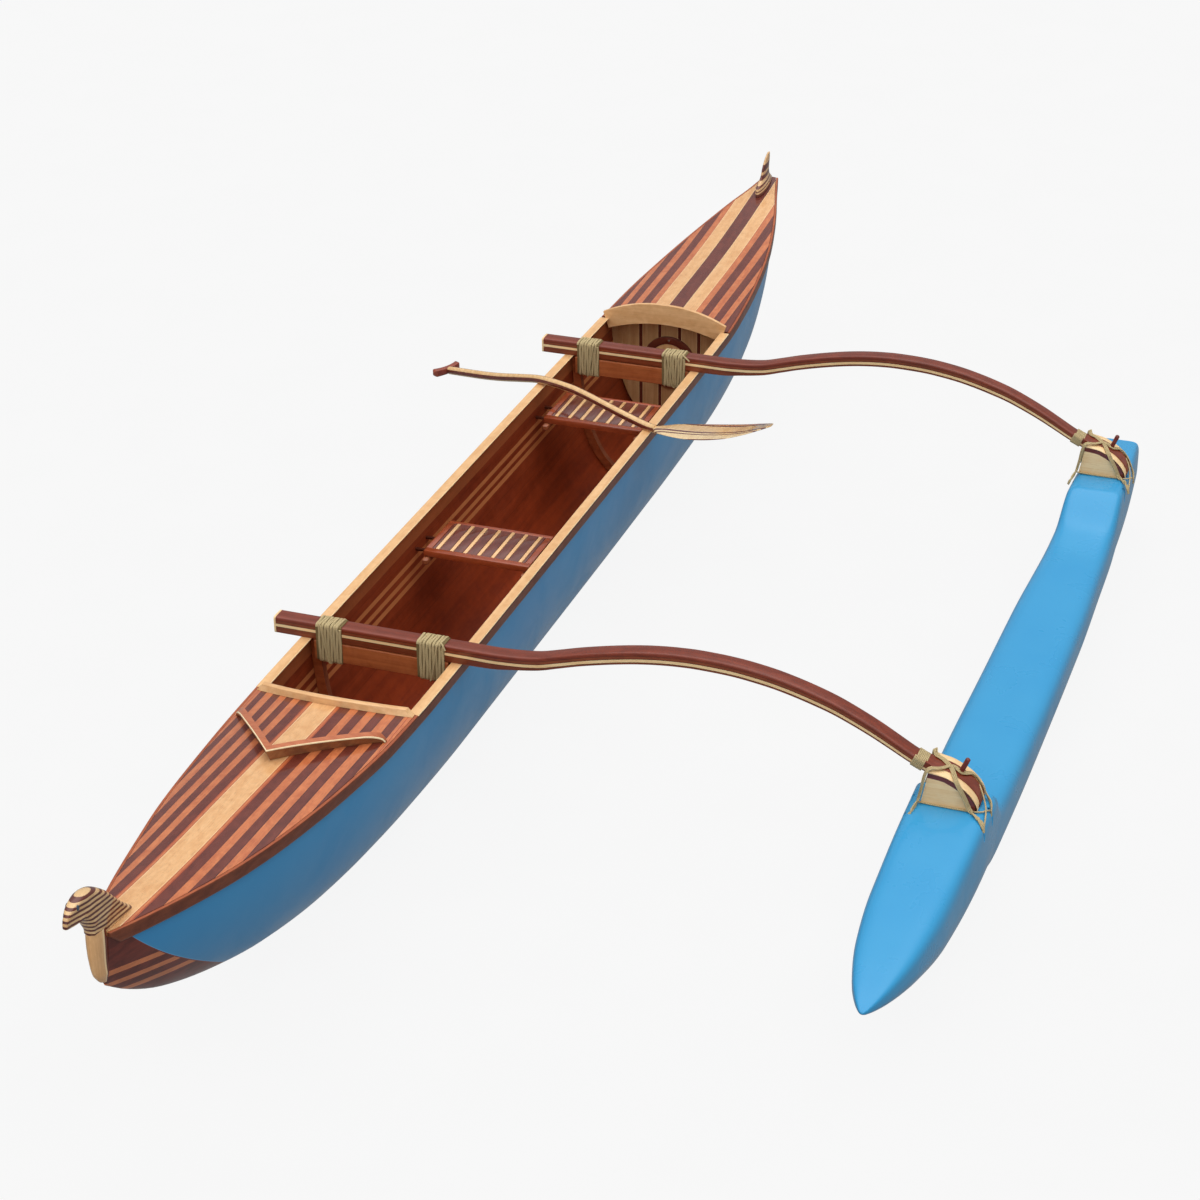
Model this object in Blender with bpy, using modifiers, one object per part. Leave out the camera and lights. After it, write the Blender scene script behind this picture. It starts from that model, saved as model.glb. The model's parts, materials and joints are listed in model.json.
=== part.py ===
"""Outrigger canoe: strip-planked hull, two iakos, one ama on the port side, seats and a paddle.

Metres. +X is forward, to the bow; +Y is port, the side of the ama; +Z is up.
The pieces are drawn about a point on the floor under the hull, midway between the two
iakos. An empty carries them all, so that the world's origin is the middle of the
whole canoe's footprint.
"""

import math

import bmesh
import bpy
import numpy as np
from mathutils import Matrix, Vector

COLLECTION = "outrigger_canoe"
FOOTPRINT_CENTRE = (0.0635, 0.5486)

# Clearance between touching pieces, and how near the points of one body may merge
GAP = 0.0003
MERGE = 0.00005

# Planked shell: its ends, where its hollow ends, wall, and points of half a section
HULL_BOW_X = 2.770
HULL_STERN_X = -2.790
HOLLOW_BOW_X = 2.60
HOLLOW_STERN_X = -2.60
WALL = 0.009
KEEL_SKIN = 0.011
HALF_SEGMENTS = 12

# Decks: thickness, how far they lie inside the planking's edge, rise for each metre of half-breadth
DECK_THICK = 0.012
DECK_INSET = 0.0008
BOW_CROWN = 0.112
STERN_CROWN = 0.07
COCKPIT_BOW_X = 1.428
COCKPIT_STERN_X = -1.442

# Rub rails, and the caps on the cockpit's sides
RAIL_THICK = 0.009
RAIL_TALL = 0.036
RAIL_ROUND = 0.003
CAP_WIDE = 0.035

# Board along the bow deck's cockpit edge: how far its middle bows forward, thickness,
# height, rounding, and how much shorter its top is than its foot at each end
COAMING_BOW = 0.058
COAMING_THICK = 0.018
COAMING_TALL = 0.021
COAMING_ROUND = 0.002
COAMING_SLANT = 0.019

# Arched board at the stern deck's cockpit edge
ARCH_THICK = 0.012
ARCH_HALF = 0.2370
ARCH_END_TOP = 0.5280
ARCH_RISE = 0.0550
ARCH_LOW_HALF = 0.2165
ARCH_LOW_END = 0.4650
ARCH_LOW_RISE = 0.0390
ARCH_SEAT = 0.5040

# Splash guard: its point, the outer end of its port arm, width and heights
GUARD_POINT_X = 1.8660
GUARD_END_X = 1.6025
GUARD_END_Y = 0.2270
GUARD_WIDE = 0.021
GUARD_LEAN = 0.020
GUARD_TALL = 0.041
GUARD_TAPER = 0.016

# Stem band: top, half-breadth, and height under which it narrows
STEM_TOP = 0.6135
STEM_HALF = 0.0210
STEM_NARROWS = 0.50

# Iakos, and the ribs and boards that they are lashed to
IAKOS = (("front", 1.1), ("rear", -1.1))
IAKO_WIDE = 0.050
IAKO_CORNER = 0.008
FRAME_THICK = 0.024
FRAME_DEEP = 0.030
FRAME_SKIN = 0.0020
FRAME_AHEAD = 0.004
BRACE_HALF = 0.2130
BRACE_LOW = 0.4367
BRACE_HIGH = 0.4994
BRACE_THICK = 0.022
CORD = 0.006
CORD_CLEAR = 0.0008
LASHING_ENDS = (("starboard", -0.2040, -0.1200), ("port", 0.1160, 0.2040))

# Whipping round an iako's outboard end, by y, and its clearance and thickness
WHIPPING_YS = (1.5930, 1.6100, 1.6270)
WHIPPING_CLEAR = 0.0006
WHIPPING_THICK = 0.0044

# Ama, saddle blocks and pegs
AMA_Y = 1.707
PAD_Z = 0.3344
AMA_LOWER_POWER = 2.25
AMA_SEGMENTS = 28
AMA_EXTRA_X = (-1.30, -0.87, -0.40, 0.40, 1.017, 1.37, 1.65, 1.84, 1.96)
BLOCK_HALF = 0.054
BLOCK_ROUND = 0.004
PEG_RADIUS = 0.008
PEG_Y = 1.7330
PEG_AFT = 0.020
PEG_LOW = 0.3872
PEG_HIGH = 0.4520
BAND_AHEAD = 0.040
BAND_WIDE = 0.018
BAND_CLEAR = 0.0004
BAND_THICK = 0.0045
BAND_INNER_FOOT_Y = 1.6125
BAND_OUTER_FOOT_Y = (1.7965, 1.8030)

# Seats: name, aft edge, fore edge; then height of the top, thickness and half-breadth
SEATS = (("front", 0.1727, 0.3970), ("rear", -0.8930, -0.6640))
SEAT_TOP = 0.4444
SEAT_THICK = 0.022
SEAT_HALF = 0.1775
CLEAT_THICK = 0.020
CLEAT_INNER_Y = 0.145
CLEAT_PAST = 0.018
CLEAT_ROUND = 0.012

# Bulkheads, and the ring and cover of the round hatch in each
BULKHEAD_X = 1.507
BULKHEAD_THICK = 0.012
BULKHEAD_SKIN = 0.0012
BULKHEAD_BELOW_EDGE = 0.020
HATCH_Z = 0.332
HATCH_HOLE = 0.0790
COVER_RADIUS = 0.0728
COVER_PROUD = 0.0070
COVER_DEEP = 0.0100
RING_OUTER = 0.1016
RING_INNER = 0.0735
RING_THICK = 0.010
RING_ROUND = 0.003
ROUND_SIDES = 40

# Paddle: where its shaft crosses the starboard gunwale, its heading, and its sizes
PADDLE_FROM = (-0.8124, -0.25)
PADDLE_ALONG = (0.4545, 0.8907)
SHAFT_RADIUS = 0.0145
BLADE_SEGMENTS = 14
BLADE_EDGE = 0.8
GRIP_HALF = 0.058
GRIP_RADIUS = 0.0155
GRIP_ROUND = 0.005
GRIP_Z = 0.4010

# Bird's head and tail piece: points round a section of the tail, clearance to the deck
TAIL_SEGMENTS = 12
TAIL_CLEAR = 0.0011
HEAD_CLEAR = 0.0006

# Hull stations: x, half-breadth outside the rub rail, height of the deck edge, keel, section power
HULL = (
    (-2.800, 0.0290, 0.6205, 0.440, 1.57),
    (-2.684, 0.0590, 0.6000, 0.367, 1.58),
    (-2.552, 0.0965, 0.5825, 0.292, 1.61),
    (-2.420, 0.1310, 0.5635, 0.224, 1.65),
    (-2.200, 0.1780, 0.5375, 0.140, 1.72),
    (-1.980, 0.2110, 0.5220, 0.083, 1.80),
    (-1.720, 0.2370, 0.5110, 0.043, 1.88),
    (-1.452, 0.2520, 0.5020, 0.020, 1.95),
    (-1.200, 0.2575, 0.5005, 0.006, 1.98),
    (-0.880, 0.2610, 0.5005, 0.000, 2.00),
    (-0.300, 0.2630, 0.5005, 0.000, 2.00),
    (0.300, 0.2630, 0.5005, 0.000, 2.00),
    (0.880, 0.2625, 0.5005, 0.000, 2.00),
    (1.320, 0.2590, 0.5005, 0.022, 1.98),
    (1.588, 0.2465, 0.5080, 0.043, 1.93),
    (1.837, 0.2205, 0.5240, 0.068, 1.86),
    (2.108, 0.1890, 0.5405, 0.119, 1.79),
    (2.314, 0.1530, 0.5540, 0.184, 1.74),
    (2.526, 0.1055, 0.5755, 0.278, 1.70),
    (2.684, 0.0590, 0.5970, 0.379, 1.67),
    (2.772, 0.0305, 0.6110, 0.451, 1.66),
)

# Stations that the shell, rails, caps and decks share, so that their straight facets agree
STATIONS = (
    HULL_STERN_X, -2.740, -2.680, HOLLOW_STERN_X, -2.520, -2.420, -2.300, -2.150, -1.980, -1.850,
    -1.720, -1.590, -1.519, -1.4546, -1.4417, -1.320, -1.200, -1.125, -1.070, -0.880, -0.300,
    0.300, 0.880, 1.070, 1.125, 1.240, 1.320, COCKPIT_BOW_X, 1.460, 1.507, 1.588, 1.700, 1.837, 1.970,
    2.108, 2.220, 2.314, 2.420, 2.526, HOLLOW_BOW_X, 2.684, 2.730, HULL_BOW_X,
)

# Ama stations: x, half-breadth, top, bottom, height of the widest line as a share of the depth,
# power of the top's rounding
AMA = (
    (-1.386, 0.0680, 0.3344, 0.060, 0.62, 7.0),
    (-1.210, 0.0790, 0.3344, 0.022, 0.62, 7.5),
    (-1.100, 0.0850, 0.3344, 0.008, 0.62, 8.0),
    (-0.950, 0.0925, 0.3330, 0.001, 0.63, 7.0),
    (-0.790, 0.0990, 0.2640, 0.000, 0.65, 4.6),
    (-0.600, 0.1070, 0.2430, 0.000, 0.66, 4.2),
    (-0.220, 0.1210, 0.2400, 0.000, 0.66, 4.2),
    (0.200, 0.1260, 0.2450, 0.000, 0.66, 4.2),
    (0.600, 0.1255, 0.2540, 0.000, 0.66, 4.2),
    (0.900, 0.1225, 0.2620, 0.000, 0.66, 4.2),
    (1.000, 0.1205, 0.2760, 0.000, 0.65, 4.6),
    (1.034, 0.1200, 0.3344, 0.001, 0.62, 7.5),
    (1.200, 0.1180, 0.3344, 0.011, 0.62, 7.0),
    (1.540, 0.1120, 0.3225, 0.077, 0.62, 4.6),
    (1.760, 0.0930, 0.3080, 0.152, 0.60, 4.2),
    (1.914, 0.0620, 0.2950, 0.207, 0.58, 4.2),
    (2.002, 0.0320, 0.2830, 0.243, 0.56, 4.2),
    (2.043, 0.0080, 0.2720, 0.262, 0.50, 4.2),
)

# Middle of an iako's top face: y, height, depth of the iako there
IAKO = (
    (-0.3390, 0.5543, 0.0533),
    (-0.1500, 0.5543, 0.0533),
    (0.0500, 0.5543, 0.0533),
    (0.2600, 0.5543, 0.0533),
    (0.3400, 0.5535, 0.0515),
    (0.4180, 0.5570, 0.0450),
    (0.4800, 0.5640, 0.0420),
    (0.5410, 0.5800, 0.0400),
    (0.6010, 0.5975, 0.0395),
    (0.6620, 0.6130, 0.0395),
    (0.7220, 0.6265, 0.0395),
    (0.7820, 0.6380, 0.0395),
    (0.8410, 0.6465, 0.0395),
    (0.9000, 0.6520, 0.0395),
    (0.9590, 0.6545, 0.0395),
    (1.0170, 0.6535, 0.0395),
    (1.0750, 0.6500, 0.0390),
    (1.1330, 0.6430, 0.0390),
    (1.1910, 0.6330, 0.0385),
    (1.2490, 0.6190, 0.0380),
    (1.3070, 0.6020, 0.0375),
    (1.3640, 0.5820, 0.0360),
    (1.4220, 0.5560, 0.0345),
    (1.4800, 0.5270, 0.0330),
    (1.5380, 0.4940, 0.0310),
    (1.5900, 0.4640, 0.0295),
    (1.6400, 0.4400, 0.0285),
    (1.6850, 0.4235, 0.0280),
    (1.7100, 0.4160, 0.0280),
)

# Saddle block under the end of each iako, seen along X: y, z
BLOCK = (
    (1.6240, 0.3347),
    (1.7780, 0.3347),
    (1.7900, 0.3420),
    (1.7940, 0.3560),
    (1.7920, 0.3700),
    (1.7850, 0.3810),
    (1.7720, 0.3868),
    (1.7140, 0.3868),
    (1.6850, 0.3915),
    (1.6610, 0.3990),
    (1.6400, 0.4060),
    (1.6330, 0.4050),
)

# Bird's head on the bow, seen along Y: x, z
HEAD = (
    (2.6380, 0.5980),
    (2.6700, 0.6340),
    (2.7060, 0.6740),
    (2.7440, 0.7120),
    (2.7820, 0.7420),
    (2.8200, 0.7620),
    (2.8560, 0.7700),
    (2.8870, 0.7650),
    (2.9080, 0.7520),
    (2.9180, 0.7310),
    (2.9150, 0.7080),
    (2.8960, 0.7040),
    (2.8720, 0.6960),
    (2.8500, 0.6940),
    (2.8390, 0.6860),
    (2.8260, 0.6640),
    (2.8200, 0.6350),
    (2.8180, 0.6100),
    (2.7720, 0.6000),
    (2.7500, 0.6000),
    (2.7100, 0.6000),
    (2.6700, 0.6000),
)

# Sections of the head from cheek to cheek: y, size as a share of the outline
HEAD_CHEEKS = (
    (-0.0250, 0.62),
    (-0.0225, 0.80),
    (-0.0160, 0.93),
    (-0.0070, 0.99),
    (0.0070, 0.99),
    (0.0160, 0.93),
    (0.0225, 0.80),
    (0.0250, 0.62),
)

# Tail piece on the stern deck: x of its aft edge, x of its fore edge, z, half-breadth
TAIL = (
    (-2.7860, -2.5960, 0.6290, 0.0190),
    (-2.7800, -2.6080, 0.6340, 0.0180),
    (-2.7680, -2.6280, 0.6430, 0.0150),
    (-2.7560, -2.6480, 0.6550, 0.0115),
    (-2.7520, -2.6600, 0.6700, 0.0095),
    (-2.7540, -2.6700, 0.6880, 0.0085),
    (-2.7600, -2.6860, 0.7060, 0.0075),
    (-2.7640, -2.7060, 0.7220, 0.0060),
    (-2.7640, -2.7340, 0.7360, 0.0040),
)

# Stem band, from its foot up: z, x of its front
STEM = (
    (0.4640, 2.7790),
    (0.4720, 2.7900),
    (0.4850, 2.8000),
    (0.5050, 2.8120),
    (0.5350, 2.8200),
    (0.5700, 2.8240),
    (0.6080, 2.8250),
    (STEM_TOP, 2.8245),
)

# Paddle shaft: distance from the starboard gunwale, height of its centre
SHAFT = (
    (-0.4871, 0.4031),
    (-0.3190, 0.4321),
    (-0.2090, 0.4621),
    (-0.1000, 0.4921),
    (-0.0100, 0.5151),
    (0.0580, 0.5259),
    (0.1660, 0.5334),
    (0.2470, 0.5321),
    (0.3140, 0.5278),
    (0.4470, 0.5191),
    (0.5450, 0.5155),
    (0.5900, 0.5187),
)

# Paddle blade: distance, height of its centre, half-breadth, thickness
BLADE = (
    (0.5904, 0.5187, 0.0140, 0.0220),
    (0.6150, 0.5268, 0.0330, 0.0170),
    (0.6500, 0.5378, 0.0490, 0.0130),
    (0.7200, 0.5548, 0.0640, 0.0110),
    (0.8000, 0.5758, 0.0755, 0.0100),
    (0.8930, 0.6048, 0.0790, 0.0090),
    (0.9780, 0.6358, 0.0735, 0.0080),
    (1.0490, 0.6678, 0.0540, 0.0070),
    (1.0950, 0.6918, 0.0280, 0.0060),
    (1.1150, 0.7028, 0.0080, 0.0050),
)

# Finishes: red, green, blue, roughness
FINISHES = {
    "maple": (0.80, 0.56, 0.30, 0.28),
    "mahogany": (0.20, 0.055, 0.03, 0.22),
    "dark_rail": (0.13, 0.05, 0.025, 0.40),
    "orange": (0.60, 0.25, 0.10, 0.28),
    "blue": (0.09, 0.33, 0.62, 0.15),
    "deck": (0.30, 0.11, 0.06, 0.15),
    "cord": (0.45, 0.37, 0.22, 0.80),
    "red_peg": (0.30, 0.05, 0.03, 0.35),
}


def smooth(table, column, at):
    """Monotone cubic through one column of a table whose first column rises."""
    xs = np.array([row[0] for row in table])
    ys = np.array([row[column] for row in table])
    steps = np.diff(xs)
    slopes = np.diff(ys) / steps
    tangents = np.zeros(len(xs))
    tangents[0] = slopes[0]
    tangents[-1] = slopes[-1]
    for i in range(1, len(xs) - 1):
        if slopes[i - 1] * slopes[i] > 0:
            before = 2 * steps[i] + steps[i - 1]
            after = steps[i] + 2 * steps[i - 1]
            tangents[i] = (before + after) / (before / slopes[i - 1] + after / slopes[i])
    i = int(np.clip(np.searchsorted(xs, at) - 1, 0, len(steps) - 1))
    t = min(max((at - xs[i]) / steps[i], 0.0), 1.0)
    return float(
        (2 * t**3 - 3 * t**2 + 1) * ys[i]
        + (t**3 - 2 * t**2 + t) * steps[i] * tangents[i]
        + (3 * t**2 - 2 * t**3) * ys[i + 1]
        + (t**3 - t**2) * steps[i] * tangents[i + 1]
    )


FAIR = {column: [smooth(HULL, column, x) for x in STATIONS] for column in (1, 2, 3, 4)}


def faired(column, x):
    """A column of HULL at x, straight between the stations that the pieces share."""
    return float(np.interp(x, STATIONS, FAIR[column]))


def breadth(x):
    """Half-breadth of the planked shell at its top edge."""
    return faired(1, x) - RAIL_THICK - GAP


def sheer(x):
    """Height of the deck edge and of the gunwale caps' top."""
    return faired(2, x)


def keel(x):
    """Height of the outside of the keel."""
    return faired(3, x)


def shell_top(x):
    """Height of the planking's top edge, under the deck or cap."""
    return sheer(x) - DECK_THICK - GAP


def power_of(x):
    """Power of the section's curve at x: 2 is an ellipse, less is more like a V."""
    return faired(4, x)


def signed_power(value, power):
    """The size of a value raised to a power, with its sign kept."""
    return math.copysign(abs(value) ** power, value) if abs(value) > 1e-9 else 0.0


def section(x, wall, floor):
    """Points of the shell's section at x, from the port edge round the keel to starboard."""
    half = breadth(x) - wall
    top = shell_top(x)
    low = keel(x) + floor
    power = 2.0 / power_of(x)
    points = []
    for k in range(2 * HALF_SEGMENTS + 1):
        angle = math.pi * k / (2 * HALF_SEGMENTS)
        y = half * signed_power(math.cos(angle), power)
        points.append((x, y, top - (top - low) * math.sin(angle) ** power))
    return points


def inner_half(x, z, skin):
    """Half-breadth inside the shell at x and height z, less a skin."""
    half = breadth(x) - WALL - skin
    top = shell_top(x)
    low = keel(x) + KEEL_SKIN + skin
    power = power_of(x)
    share = min(max((top - z) / (top - low), 0.0), 1.0)
    return half * (1.0 - share**power) ** (1.0 / power)


def crown(x):
    """Rise of the deck's centre above its edges."""
    return (BOW_CROWN if x > 0 else STERN_CROWN) * breadth(x)


def deck_top(x, y):
    """Height of the deck's upper face."""
    v = min(abs(y) / breadth(x), 1.0)
    return sheer(x) + crown(x) * (1.0 - v * v)


def direction(table, i):
    """Unit vector, in the plane of a table's first two columns, of its path at row i."""
    a = table[max(i - 1, 0)]
    b = table[min(i + 1, len(table) - 1)]
    length = math.hypot(b[0] - a[0], b[1] - a[1])
    return ((b[0] - a[0]) / length, (b[1] - a[1]) / length)


def spread(count):
    """Evenly spaced numbers from -1 to 1."""
    return [round(float(v), 4) for v in np.linspace(-1.0, 1.0, count)]


def material(name, finish):
    """A Principled material of one finish, named for its piece."""
    made = bpy.data.materials.new(name)
    made.use_nodes = True
    shader = made.node_tree.nodes["Principled BSDF"]
    red, green, blue, roughness = FINISHES[finish]
    shader.inputs["Base Color"].default_value = (red, green, blue, 1.0)
    shader.inputs["Roughness"].default_value = roughness
    shader.inputs["Metallic"].default_value = 0.0
    return made


def link(name, data, finish, home):
    """An object of a mesh or curve, with its own material, in a collection."""
    made = bpy.data.objects.new(name, data)
    data.materials.append(material(name, finish))
    home.objects.link(made)
    return made


def mesh_from(name, points, faces):
    """A closed mesh with its faces turned outwards."""
    mesh = bpy.data.meshes.new(name)
    mesh.from_pydata(points, [], faces)
    work = bmesh.new()
    work.from_mesh(mesh)
    bmesh.ops.recalc_face_normals(work, faces=work.faces)
    work.to_mesh(mesh)
    work.free()
    return mesh


def strip_faces(start, rows, size, closed):
    """Quads between rows of equally many points, numbered from start."""
    faces = []
    for i in range(rows - 1):
        a = start + i * size
        for j in range(size if closed else size - 1):
            k = (j + 1) % size
            faces.append((a + j, a + k, a + size + k, a + size + j))
    return faces


def loft(name, rings, finish, home):
    """A closed body through rings of equally many points, capped at both ends."""
    points = [p for ring in rings for p in ring]
    size = len(rings[0])
    faces = strip_faces(0, len(rings), size, True)
    faces.append(tuple(range(size)))
    faces.append(tuple(range((len(rings) - 1) * size, len(rings) * size)))
    return link(name, mesh_from(name, points, faces), finish, home)


def hoop(name, outer, inner, finish, home):
    """A closed band between rings of outer points and of inner points."""
    size = len(outer[0])
    rows = len(outer)
    points = [p for ring in outer + inner for p in ring]
    base = rows * size
    faces = strip_faces(0, rows, size, True) + strip_faces(base, rows, size, True)
    for j in range(size):
        k = (j + 1) % size
        last = base - size
        faces.append((j, base + j, base + k, k))
        faces.append((last + k, base + last + k, base + last + j, last + j))
    return link(name, mesh_from(name, points, faces), finish, home)


def outline_curve(name, outline):
    """A filled 2D curve through the points of a flat outline."""
    curve = bpy.data.curves.new(name, "CURVE")
    curve.dimensions = "2D"
    curve.fill_mode = "BOTH"
    spline = curve.splines.new("POLY")
    spline.points.add(len(outline) - 1)
    for point, (a, b) in zip(spline.points, outline):
        point.co = (a, b, 0.0, 1.0)
    spline.use_cyclic_u = True
    return curve


# How a flat outline is stood up: its two coordinates and its thickness as world axes
ACROSS_X = Matrix(((0, 0, 1), (1, 0, 0), (0, 1, 0)))
LYING = Matrix.Identity(3)


def plate(name, outline, low, high, stand, finish, home):
    """A flat outline of even thickness, from low to high along its third axis."""
    curve = outline_curve(name, outline)
    curve.extrude = 0.5 * (high - low)
    made = link(name, curve, finish, home)
    made.rotation_euler = stand.to_euler()
    made.location = stand @ Vector((0.0, 0.0, 0.5 * (low + high)))
    return made


def as_mesh(made):
    """The same piece as a welded mesh, which a Boolean or a Bevel can work on."""
    evaluated = made.evaluated_get(bpy.context.evaluated_depsgraph_get())
    mesh = bpy.data.meshes.new_from_object(evaluated)
    work = bmesh.new()
    work.from_mesh(mesh)
    bmesh.ops.remove_doubles(work, verts=work.verts, dist=MERGE)
    bmesh.ops.recalc_face_normals(work, faces=work.faces)
    work.to_mesh(mesh)
    work.free()
    name = made.name
    home = made.users_collection[0]
    place = made.matrix_world.copy()
    bpy.data.objects.remove(made)
    solid = bpy.data.objects.new(name, mesh)
    solid.matrix_world = place
    home.objects.link(solid)
    return solid


def board(name, low, high, finish, home):
    """A rectangular board between two corners."""
    mesh = bpy.data.meshes.new(name)
    work = bmesh.new()
    bmesh.ops.create_cube(work, size=1.0)
    bmesh.ops.scale(work, vec=Vector(high) - Vector(low), verts=work.verts)
    work.to_mesh(mesh)
    work.free()
    made = link(name, mesh, finish, home)
    made.location = 0.5 * (Vector(low) + Vector(high))
    return made


def rod(name, ends, radius, sides, finish, home):
    """A round bar between two points."""
    start, end = Vector(ends[0]), Vector(ends[1])
    mesh = bpy.data.meshes.new(name)
    work = bmesh.new()
    bmesh.ops.create_cone(
        work,
        cap_ends=True,
        segments=sides,
        radius1=radius,
        radius2=radius,
        depth=(end - start).length,
    )
    work.to_mesh(mesh)
    work.free()
    mesh.shade_smooth()
    mesh.set_sharp_from_angle(angle=math.radians(40))
    made = link(name, mesh, finish, home)
    made.rotation_euler = (end - start).to_track_quat("Z", "Y").to_euler()
    made.location = 0.5 * (start + end)
    return made


def soften(made, width, segments=2):
    """Rounds a piece's sharp edges."""
    bevel = made.modifiers.new("soft edges", "BEVEL")
    bevel.width = width
    bevel.segments = segments
    bevel.limit_method = "ANGLE"
    bevel.angle_limit = math.radians(40)
    return made


def cut(made, cutter):
    """Takes the cutter's shape out of a piece."""
    cutter.hide_render = True
    cutter.display_type = "WIRE"
    tool = made.modifiers.new("cut", "BOOLEAN")
    tool.operation = "DIFFERENCE"
    tool.solver = "EXACT"
    tool.object = cutter


def build_shell(home):
    """The planked shell: outer and inner skins joined by a rim, solid at the two ends."""
    first = STATIONS.index(HOLLOW_STERN_X)
    last = STATIONS.index(HOLLOW_BOW_X)
    rows = len(STATIONS)
    size = 2 * HALF_SEGMENTS + 1
    points = []
    for x in STATIONS:
        points += section(x, 0.0, 0.0)
    base = len(points)
    for x in STATIONS[first : last + 1]:
        points += section(x, WALL, KEEL_SKIN)
    faces = strip_faces(0, rows, size, False)
    faces += strip_faces(base, last - first + 1, size, False)
    for i in range(last - first):
        outer = (first + i) * size
        inner = base + i * size
        faces.append((outer, outer + size, inner + size, inner))
        outer += size - 1
        inner += size - 1
        faces.append((outer, inner, inner + size, outer + size))
    end = base + (last - first) * size
    for start in (0, (rows - 1) * size, base, end):
        faces.append(tuple(range(start, start + size)))
    for i in list(range(first - 1)) + list(range(last + 1, rows - 1)):
        a = i * size
        faces.append((a, a + size - 1, a + 2 * size - 1, a + size))
    for outer, inner, past in ((first * size, base, -size), (last * size, end, size)):
        opposite = outer + size - 1
        faces.append((outer, inner, inner + size - 1, opposite, opposite + past, outer + past))
    return link("hull_shell", mesh_from("hull_shell", points, faces), "blue", home)


def build_deck(name, cockpit, tip, bow, home):
    """A crowned deck; its cockpit edge bows forward by bow at the centre line."""
    rows = (0.0, 0.06, 0.14, 0.24, 0.34, 0.45, 0.56, 0.67, 0.78, 0.88, 0.95, 1.0)
    rings = []
    for row in rows:
        upper = []
        lower = []
        for v in spread(13):
            start = cockpit + bow * (1.0 - v * v)
            x = start + (tip - start) * row
            y = v * (breadth(x) - DECK_INSET)
            top = deck_top(x, y)
            upper.append((x, y, top))
            lower.append((x, y, top - DECK_THICK + DECK_INSET))
        rings.append(upper + lower[::-1])
    return loft(name, rings, "deck", home)


def build_decks(home):
    """Bow deck and stern deck."""
    step = 0.0005
    build_deck("bow_deck", COCKPIT_BOW_X + 2 * step, HULL_BOW_X - step, COAMING_BOW, home)
    aft = COCKPIT_STERN_X - ARCH_THICK - 2 * GAP
    build_deck("stern_deck", aft, HULL_STERN_X + step, 0.0, home)


def build_rails(home):
    """Dark rub rails along the whole sheer."""
    for side, word in ((1, "port"), (-1, "starboard")):
        rings = []
        for x in STATIONS:
            inner = breadth(x) + GAP
            outer = inner + RAIL_THICK
            top = sheer(x) - 0.0005
            low = sheer(x) - RAIL_TALL
            outline = (
                (inner, low),
                (outer - RAIL_ROUND, low),
                (outer, low + 2 * RAIL_ROUND),
                (outer, top - RAIL_ROUND),
                (outer - RAIL_ROUND, top),
                (inner, top),
            )
            rings.append([(x, side * y, z) for y, z in outline])
        loft(f"rub_rail_{word}", rings, "dark_rail", home)


def build_caps(home):
    """Light caps on the two sides of the cockpit."""
    xs = [x for x in STATIONS if COCKPIT_STERN_X < x <= COCKPIT_BOW_X]
    edge = 0.003
    for side, word in ((1, "port"), (-1, "starboard")):
        rings = []
        for x in xs:
            outer = breadth(x)
            inner = outer - CAP_WIDE
            top = sheer(x)
            low = top - DECK_THICK
            outline = (
                (inner, low),
                (outer, low),
                (outer, top - 0.5 * edge),
                (outer - 0.7 * edge, top),
                (inner + edge, top),
                (inner, top - edge),
            )
            rings.append([(x, side * y, z) for y, z in outline])
        loft(f"gunwale_cap_{word}", rings, "maple", home)


def build_bow_coaming(home):
    """Low board, bowed forward, where the bow deck meets the cockpit; its ends slant inwards."""
    rings = []
    for v in spread(17):
        aft = COCKPIT_BOW_X + GAP + COAMING_BOW * (1.0 - v * v)
        fore = aft + COAMING_THICK
        foot = breadth(fore) - DECK_INSET
        y = v * foot
        inner = v * (foot - COAMING_SLANT)
        low_aft = deck_top(aft, y) + 2 * GAP
        low_fore = deck_top(fore, y) + 2 * GAP
        top = low_aft + COAMING_TALL
        rings.append([
            (aft, y, low_aft),
            (fore, y, low_fore),
            (fore, inner, top - COAMING_ROUND),
            (fore - COAMING_ROUND, inner, top),
            (aft + COAMING_ROUND, inner, top),
            (aft, inner, top - COAMING_ROUND),
        ])
    return loft("bow_coaming", rings, "maple", home)


def build_stern_coaming(home):
    """Arched board across the aft end of the cockpit."""
    top = []
    low = []
    for v in spread(17):
        top.append((v * ARCH_HALF, ARCH_END_TOP + ARCH_RISE * (1.0 - abs(v) ** 2.2)))
        low.append((v * ARCH_LOW_HALF, ARCH_LOW_END + ARCH_LOW_RISE * (1.0 - v * v)))
    outline = [(-ARCH_HALF, ARCH_SEAT)] + top + [(ARCH_HALF, ARCH_SEAT), (ARCH_LOW_HALF, ARCH_SEAT)]
    outline += low[::-1] + [(-ARCH_LOW_HALF, ARCH_SEAT)]
    aft = COCKPIT_STERN_X - ARCH_THICK
    return plate("stern_coaming", outline, aft, COCKPIT_STERN_X, ACROSS_X, "maple", home)


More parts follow.
